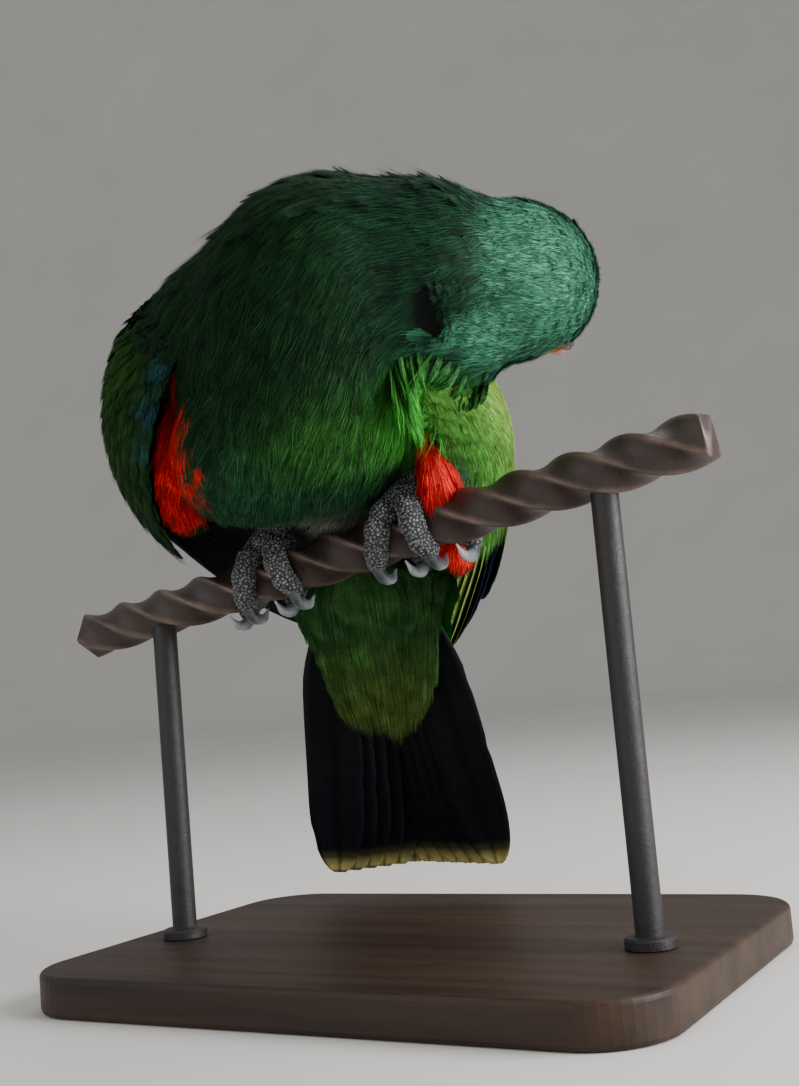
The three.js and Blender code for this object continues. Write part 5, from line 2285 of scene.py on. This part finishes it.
FEET = (
    Foot("right", -26, (-21, 3, 20), (Toe(-10, False, 6), Toe(9, False, 0), Toe(-19, True, 0),
                                      Toe(0, True, 4))),
    Foot("left", 27, (27, -4, 26), (Toe(-13, False, 4), Toe(5, False, 10), Toe(-4, True, 2),
                                    Toe(14, True, 4))),
)


# Stand

@dataclass(frozen=True)
class Stand:
    """The cut bar, two rods and a plate."""

    corner: float = 0.12 * BAR_SIDE
    corner_points: int = 5
    flat_points: int = 3
    bar_rings: int = 320
    rod_points: int = 40
    bevel: float = 1.6

    def build(self, iron: Material, steel: Material, wood: Material) -> None:
        """Builds the stand's pieces.

        Args:
            iron, steel, wood: finishes of bar, rods and plate.
        """
        self.perch(iron)
        self.rods(steel)
        self.plate(wood)

    def section(self) -> tuple[Array, list[float]]:
        """The bar's section, a square with round corners and slightly hollow sides.

        Returns:
            Its points, and how worn each is.
        """
        flat = 0.5 * BAR_SIDE - self.corner
        corners = []
        for k in range(4):
            turns = (k + np.arange(self.corner_points) / (self.corner_points - 1)) * np.pi / 2
            heart = flat * np.sign([math.cos((k + 0.5) * np.pi / 2), math.sin((k + 0.5) * np.pi / 2)])
            corners.append(heart + self.corner * np.stack([np.cos(turns), np.sin(turns)], 1))
        ring, worn = [], []
        for k, corner in enumerate(corners):
            ring += list(corner)
            worn += list(1 - 0.35 * np.abs(np.linspace(-1, 1, self.corner_points)))
            for s in range(1, self.flat_points + 1):
                share = s / (self.flat_points + 1)
                hollow = 1 - 0.012 * math.sin(np.pi * share)
                ring.append(mix(corner[-1], corners[(k + 1) % 4][0], share) * hollow)
                worn.append(0.0)
        return np.array(ring), worn

    def perch(self, finish: Material) -> None:
        """The twisted square bar, sawn off flat at its ends.

        Args:
            finish: its material.
        """
        ring, worn = self.section()
        x = np.linspace(BAR_FROM, BAR_TO, self.bar_rings)
        turn = 2 * np.pi * x[:, None] / BAR_PITCH
        y = ring[None, :, 0] * np.cos(turn) - ring[None, :, 1] * np.sin(turn)
        z = ring[None, :, 1] * np.cos(turn) + ring[None, :, 0] * np.sin(turn)
        level = np.stack([np.broadcast_to(x[:, None], y.shape), y, z], -1)
        points, faces = ladder(level @ turned("y", -math.degrees(PERCH_TILT)).T)
        piece = made("perch_bar", (points + [0, 0, PERCH_HEIGHT]) * 0.001, faces, finish, bird=False,
                     colours={"edge": np.tile(worn, len(x))})
        set_down(piece, "iron", "stand_perch")

    def rods(self, finish: Material) -> None:
        """Two rods with a collar where each stands on the plate.

        Args:
            finish: their material.
        """
        for name, along in RODS.items():
            x = along * math.cos(PERCH_TILT)
            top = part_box(name)[1].z * 1000 - 1.0
            foot = BASE["height"] + 0.3
            heights = (foot, foot, foot + 2.2, foot + 2.8, foot + 3.0, foot + 3.4, top)
            radii = (0.1, 7.2, 7.2, 6.6, 4.6, ROD_RADIUS - 0.02, ROD_RADIUS - 0.02)
            angle = np.linspace(0, 2 * np.pi, self.rod_points, endpoint=False)
            rings = np.stack([np.stack([x + r * np.cos(angle), r * np.sin(angle), np.full(len(angle), h)], -1)
                              for h, r in zip(heights, radii)])
            points, faces = ladder(rings)
            piece = made(f"rod_{name[10:]}", points * 0.001, faces, finish, bird=False, smooth=False)
            set_down(piece, "iron", name)

    def plate(self, finish: Material) -> None:
        """The base plate, its corners round and its edges eased.

        Args:
            finish: its material.
        """
        top = BASE["height"] - self.bevel
        rows = [(0.0, self.bevel), (self.bevel * 0.3, 0.45), (self.bevel, 0.0), (top, 0.0)]
        rows += [(top + self.bevel * math.sin(a), self.bevel * (1 - math.cos(a)))
                 for a in (0.4, 0.8, 1.2, 1.57)]
        flat_x, flat_y = 0.5 * BASE["length"] - BASE["corner"], 0.5 * BASE["depth"] - BASE["corner"]
        rings = []
        for height, inset in rows:
            ring = []
            radius = BASE["corner"] - inset
            for k, (sx, sy) in enumerate(((1, 1), (-1, 1), (-1, -1), (1, -1))):
                for a in (k + np.linspace(0, 1, 13)) * np.pi / 2:
                    ring.append((BASE["x"] + sx * flat_x + radius * math.cos(a),
                                 BASE["y"] + sy * flat_y + radius * math.sin(a), height))
            rings.append(ring)
        points, faces = ladder(np.array(rings))
        piece = made("base_plate", points * 0.001, faces, finish, bird=False, smooth=False)
        set_down(piece, "plate", "stand_base")


@dataclass(frozen=True)
class Lamp:
    """A round soft lamp: its place and size in metres, its power in watts."""

    name: str
    place: tuple[float, float, float]
    size: float
    power: float


@dataclass(frozen=True)
class Studio:
    """Floor, light and camera, in metres."""

    half_width: float = 6.0
    bend: float = 3.2
    ambient: float = 0.5
    lamps: tuple[Lamp, ...] = (Lamp("side", (0.85, 0.1, 0.4), 0.7, 17.0),
                               Lamp("fill", (-0.5, -0.9, 0.5), 1.0, 3.5),
                               Lamp("top", (0.1, 0.5, 1.1), 0.9, 4.0))
    aim: tuple[float, float, float] = (0.02, 0.0, 0.17)
    camera_place: tuple[float, float, float] = (0.2238, -0.3533, 0.088)
    camera_right: tuple[float, float, float] = (0.8582, 0.5060, -0.0867)
    camera_up: tuple[float, float, float] = (0.1275, -0.0466, 0.9907)
    focal_length: float = 44.75

    def build(self) -> None:
        """Sets up the studio."""
        self.floor()
        self.lights()
        self.camera()

    def floor(self) -> None:
        """A wide pale floor that curves up far behind."""
        n = 40
        y = np.linspace(-4, 5.5, n)
        z = np.where(y > self.bend, (y - self.bend) ** 2 * 0.9, 0.0)
        points = np.array([[x, b, c] for x in (-self.half_width, self.half_width) for b, c in zip(y, z)])
        a = np.arange(2 * n).reshape(2, n)
        faces = np.stack([a[0, :-1], a[1, :-1], a[1, 1:], a[0, 1:]], -1)
        paper = Paper("floor_paper", srgb(214, 211, 206)).material()
        made("floor", points, [faces], paper, bird=False)

    def lights(self) -> None:
        """Soft light from one side, weak fill from the other."""
        world = bpy.data.worlds.new("studio")
        bpy.context.scene.world = world
        world.use_nodes = True
        sky = world.node_tree.nodes["Background"].inputs
        sky["Color"].default_value = (0.9, 0.91, 0.92, 1)
        sky["Strength"].default_value = self.ambient
        for lamp in self.lamps:
            data = bpy.data.lights.new(lamp.name, "AREA")
            data.shape, data.size, data.energy = "DISK", lamp.size, lamp.power
            light = bpy.data.objects.new(lamp.name, data)
            light.location = lamp.place
            toward = Vector(self.aim) - Vector(lamp.place)
            light.rotation_euler = toward.to_track_quat("-Z", "Y").to_euler()
            bpy.context.scene.collection.objects.link(light)

    def camera(self) -> None:
        """The camera, where the photo was taken from."""
        data = bpy.data.cameras.new("camera")
        data.sensor_width, data.lens = 36.0, self.focal_length
        data.clip_start, data.clip_end = 0.01, 50
        lens = bpy.data.objects.new("camera", data)
        right, up = Vector(self.camera_right), Vector(self.camera_up)
        back = right.cross(up).normalized()
        turn = Matrix((right, back.cross(right), back)).transposed().to_4x4()
        lens.matrix_world = Matrix.Translation(Vector(self.camera_place)) @ turn
        bpy.context.scene.collection.objects.link(lens)
        bpy.context.scene.camera = lens


def main() -> None:
    """Builds the bird, its stand and the studio."""
    rng = np.random.default_rng(7)
    soft = Plumage("soft_plumage").material()
    stiff = Quill("stiff_quill").material()
    skin = Skin()
    set_down(skin.build(soft), "body_feathers", "torso", "neck", "head", "flank_left", "flank_right",
             "leg_left", "leg_right")
    Coat(skin, soft).build(rng)
    for side in ("right", "left"):
        Wing(side).build(soft, stiff, rng)
    Tail().build(soft, stiff, rng)
    # The flesh between the beads is much darker than the beads: its own dark grey, deepened as painted shade
    # in the gaps between the scales.
    hide = Hide("foot_hide", srgb(66, 68, 68), srgb(20, 21, 22)).material()
    bead = Hide("scale_horn", srgb(140, 144, 142), srgb(78, 80, 82), 900).material()
    lid = Hide("lid_hide", srgb(92, 80, 74), srgb(34, 28, 28), 2600).material()
    claw = Horn("claw_horn", srgb(58, 62, 68), srgb(176, 184, 190)).material()
    Face().build(Horn("bill_orange", srgb(206, 92, 26), srgb(236, 178, 84)).material(),
                 Horn("bill_black", srgb(20, 18, 18), srgb(34, 30, 30)).material(), Eyeball().material(), lid)
    for foot in FEET:
        foot.build(hide, bead, claw)
    Stand().build(Iron("forged_iron", srgb(58, 46, 42), srgb(122, 104, 94)).material(),
                  Iron("rod_iron", srgb(40, 38, 38), srgb(90, 88, 86)).material(),
                  Wood("dark_wood", srgb(62, 44, 32), srgb(26, 18, 14)).material())
    Studio().build()


if __name__ == "__main__":
    logging.basicConfig(level=logging.INFO, format="%(name)s %(message)s")
    main()
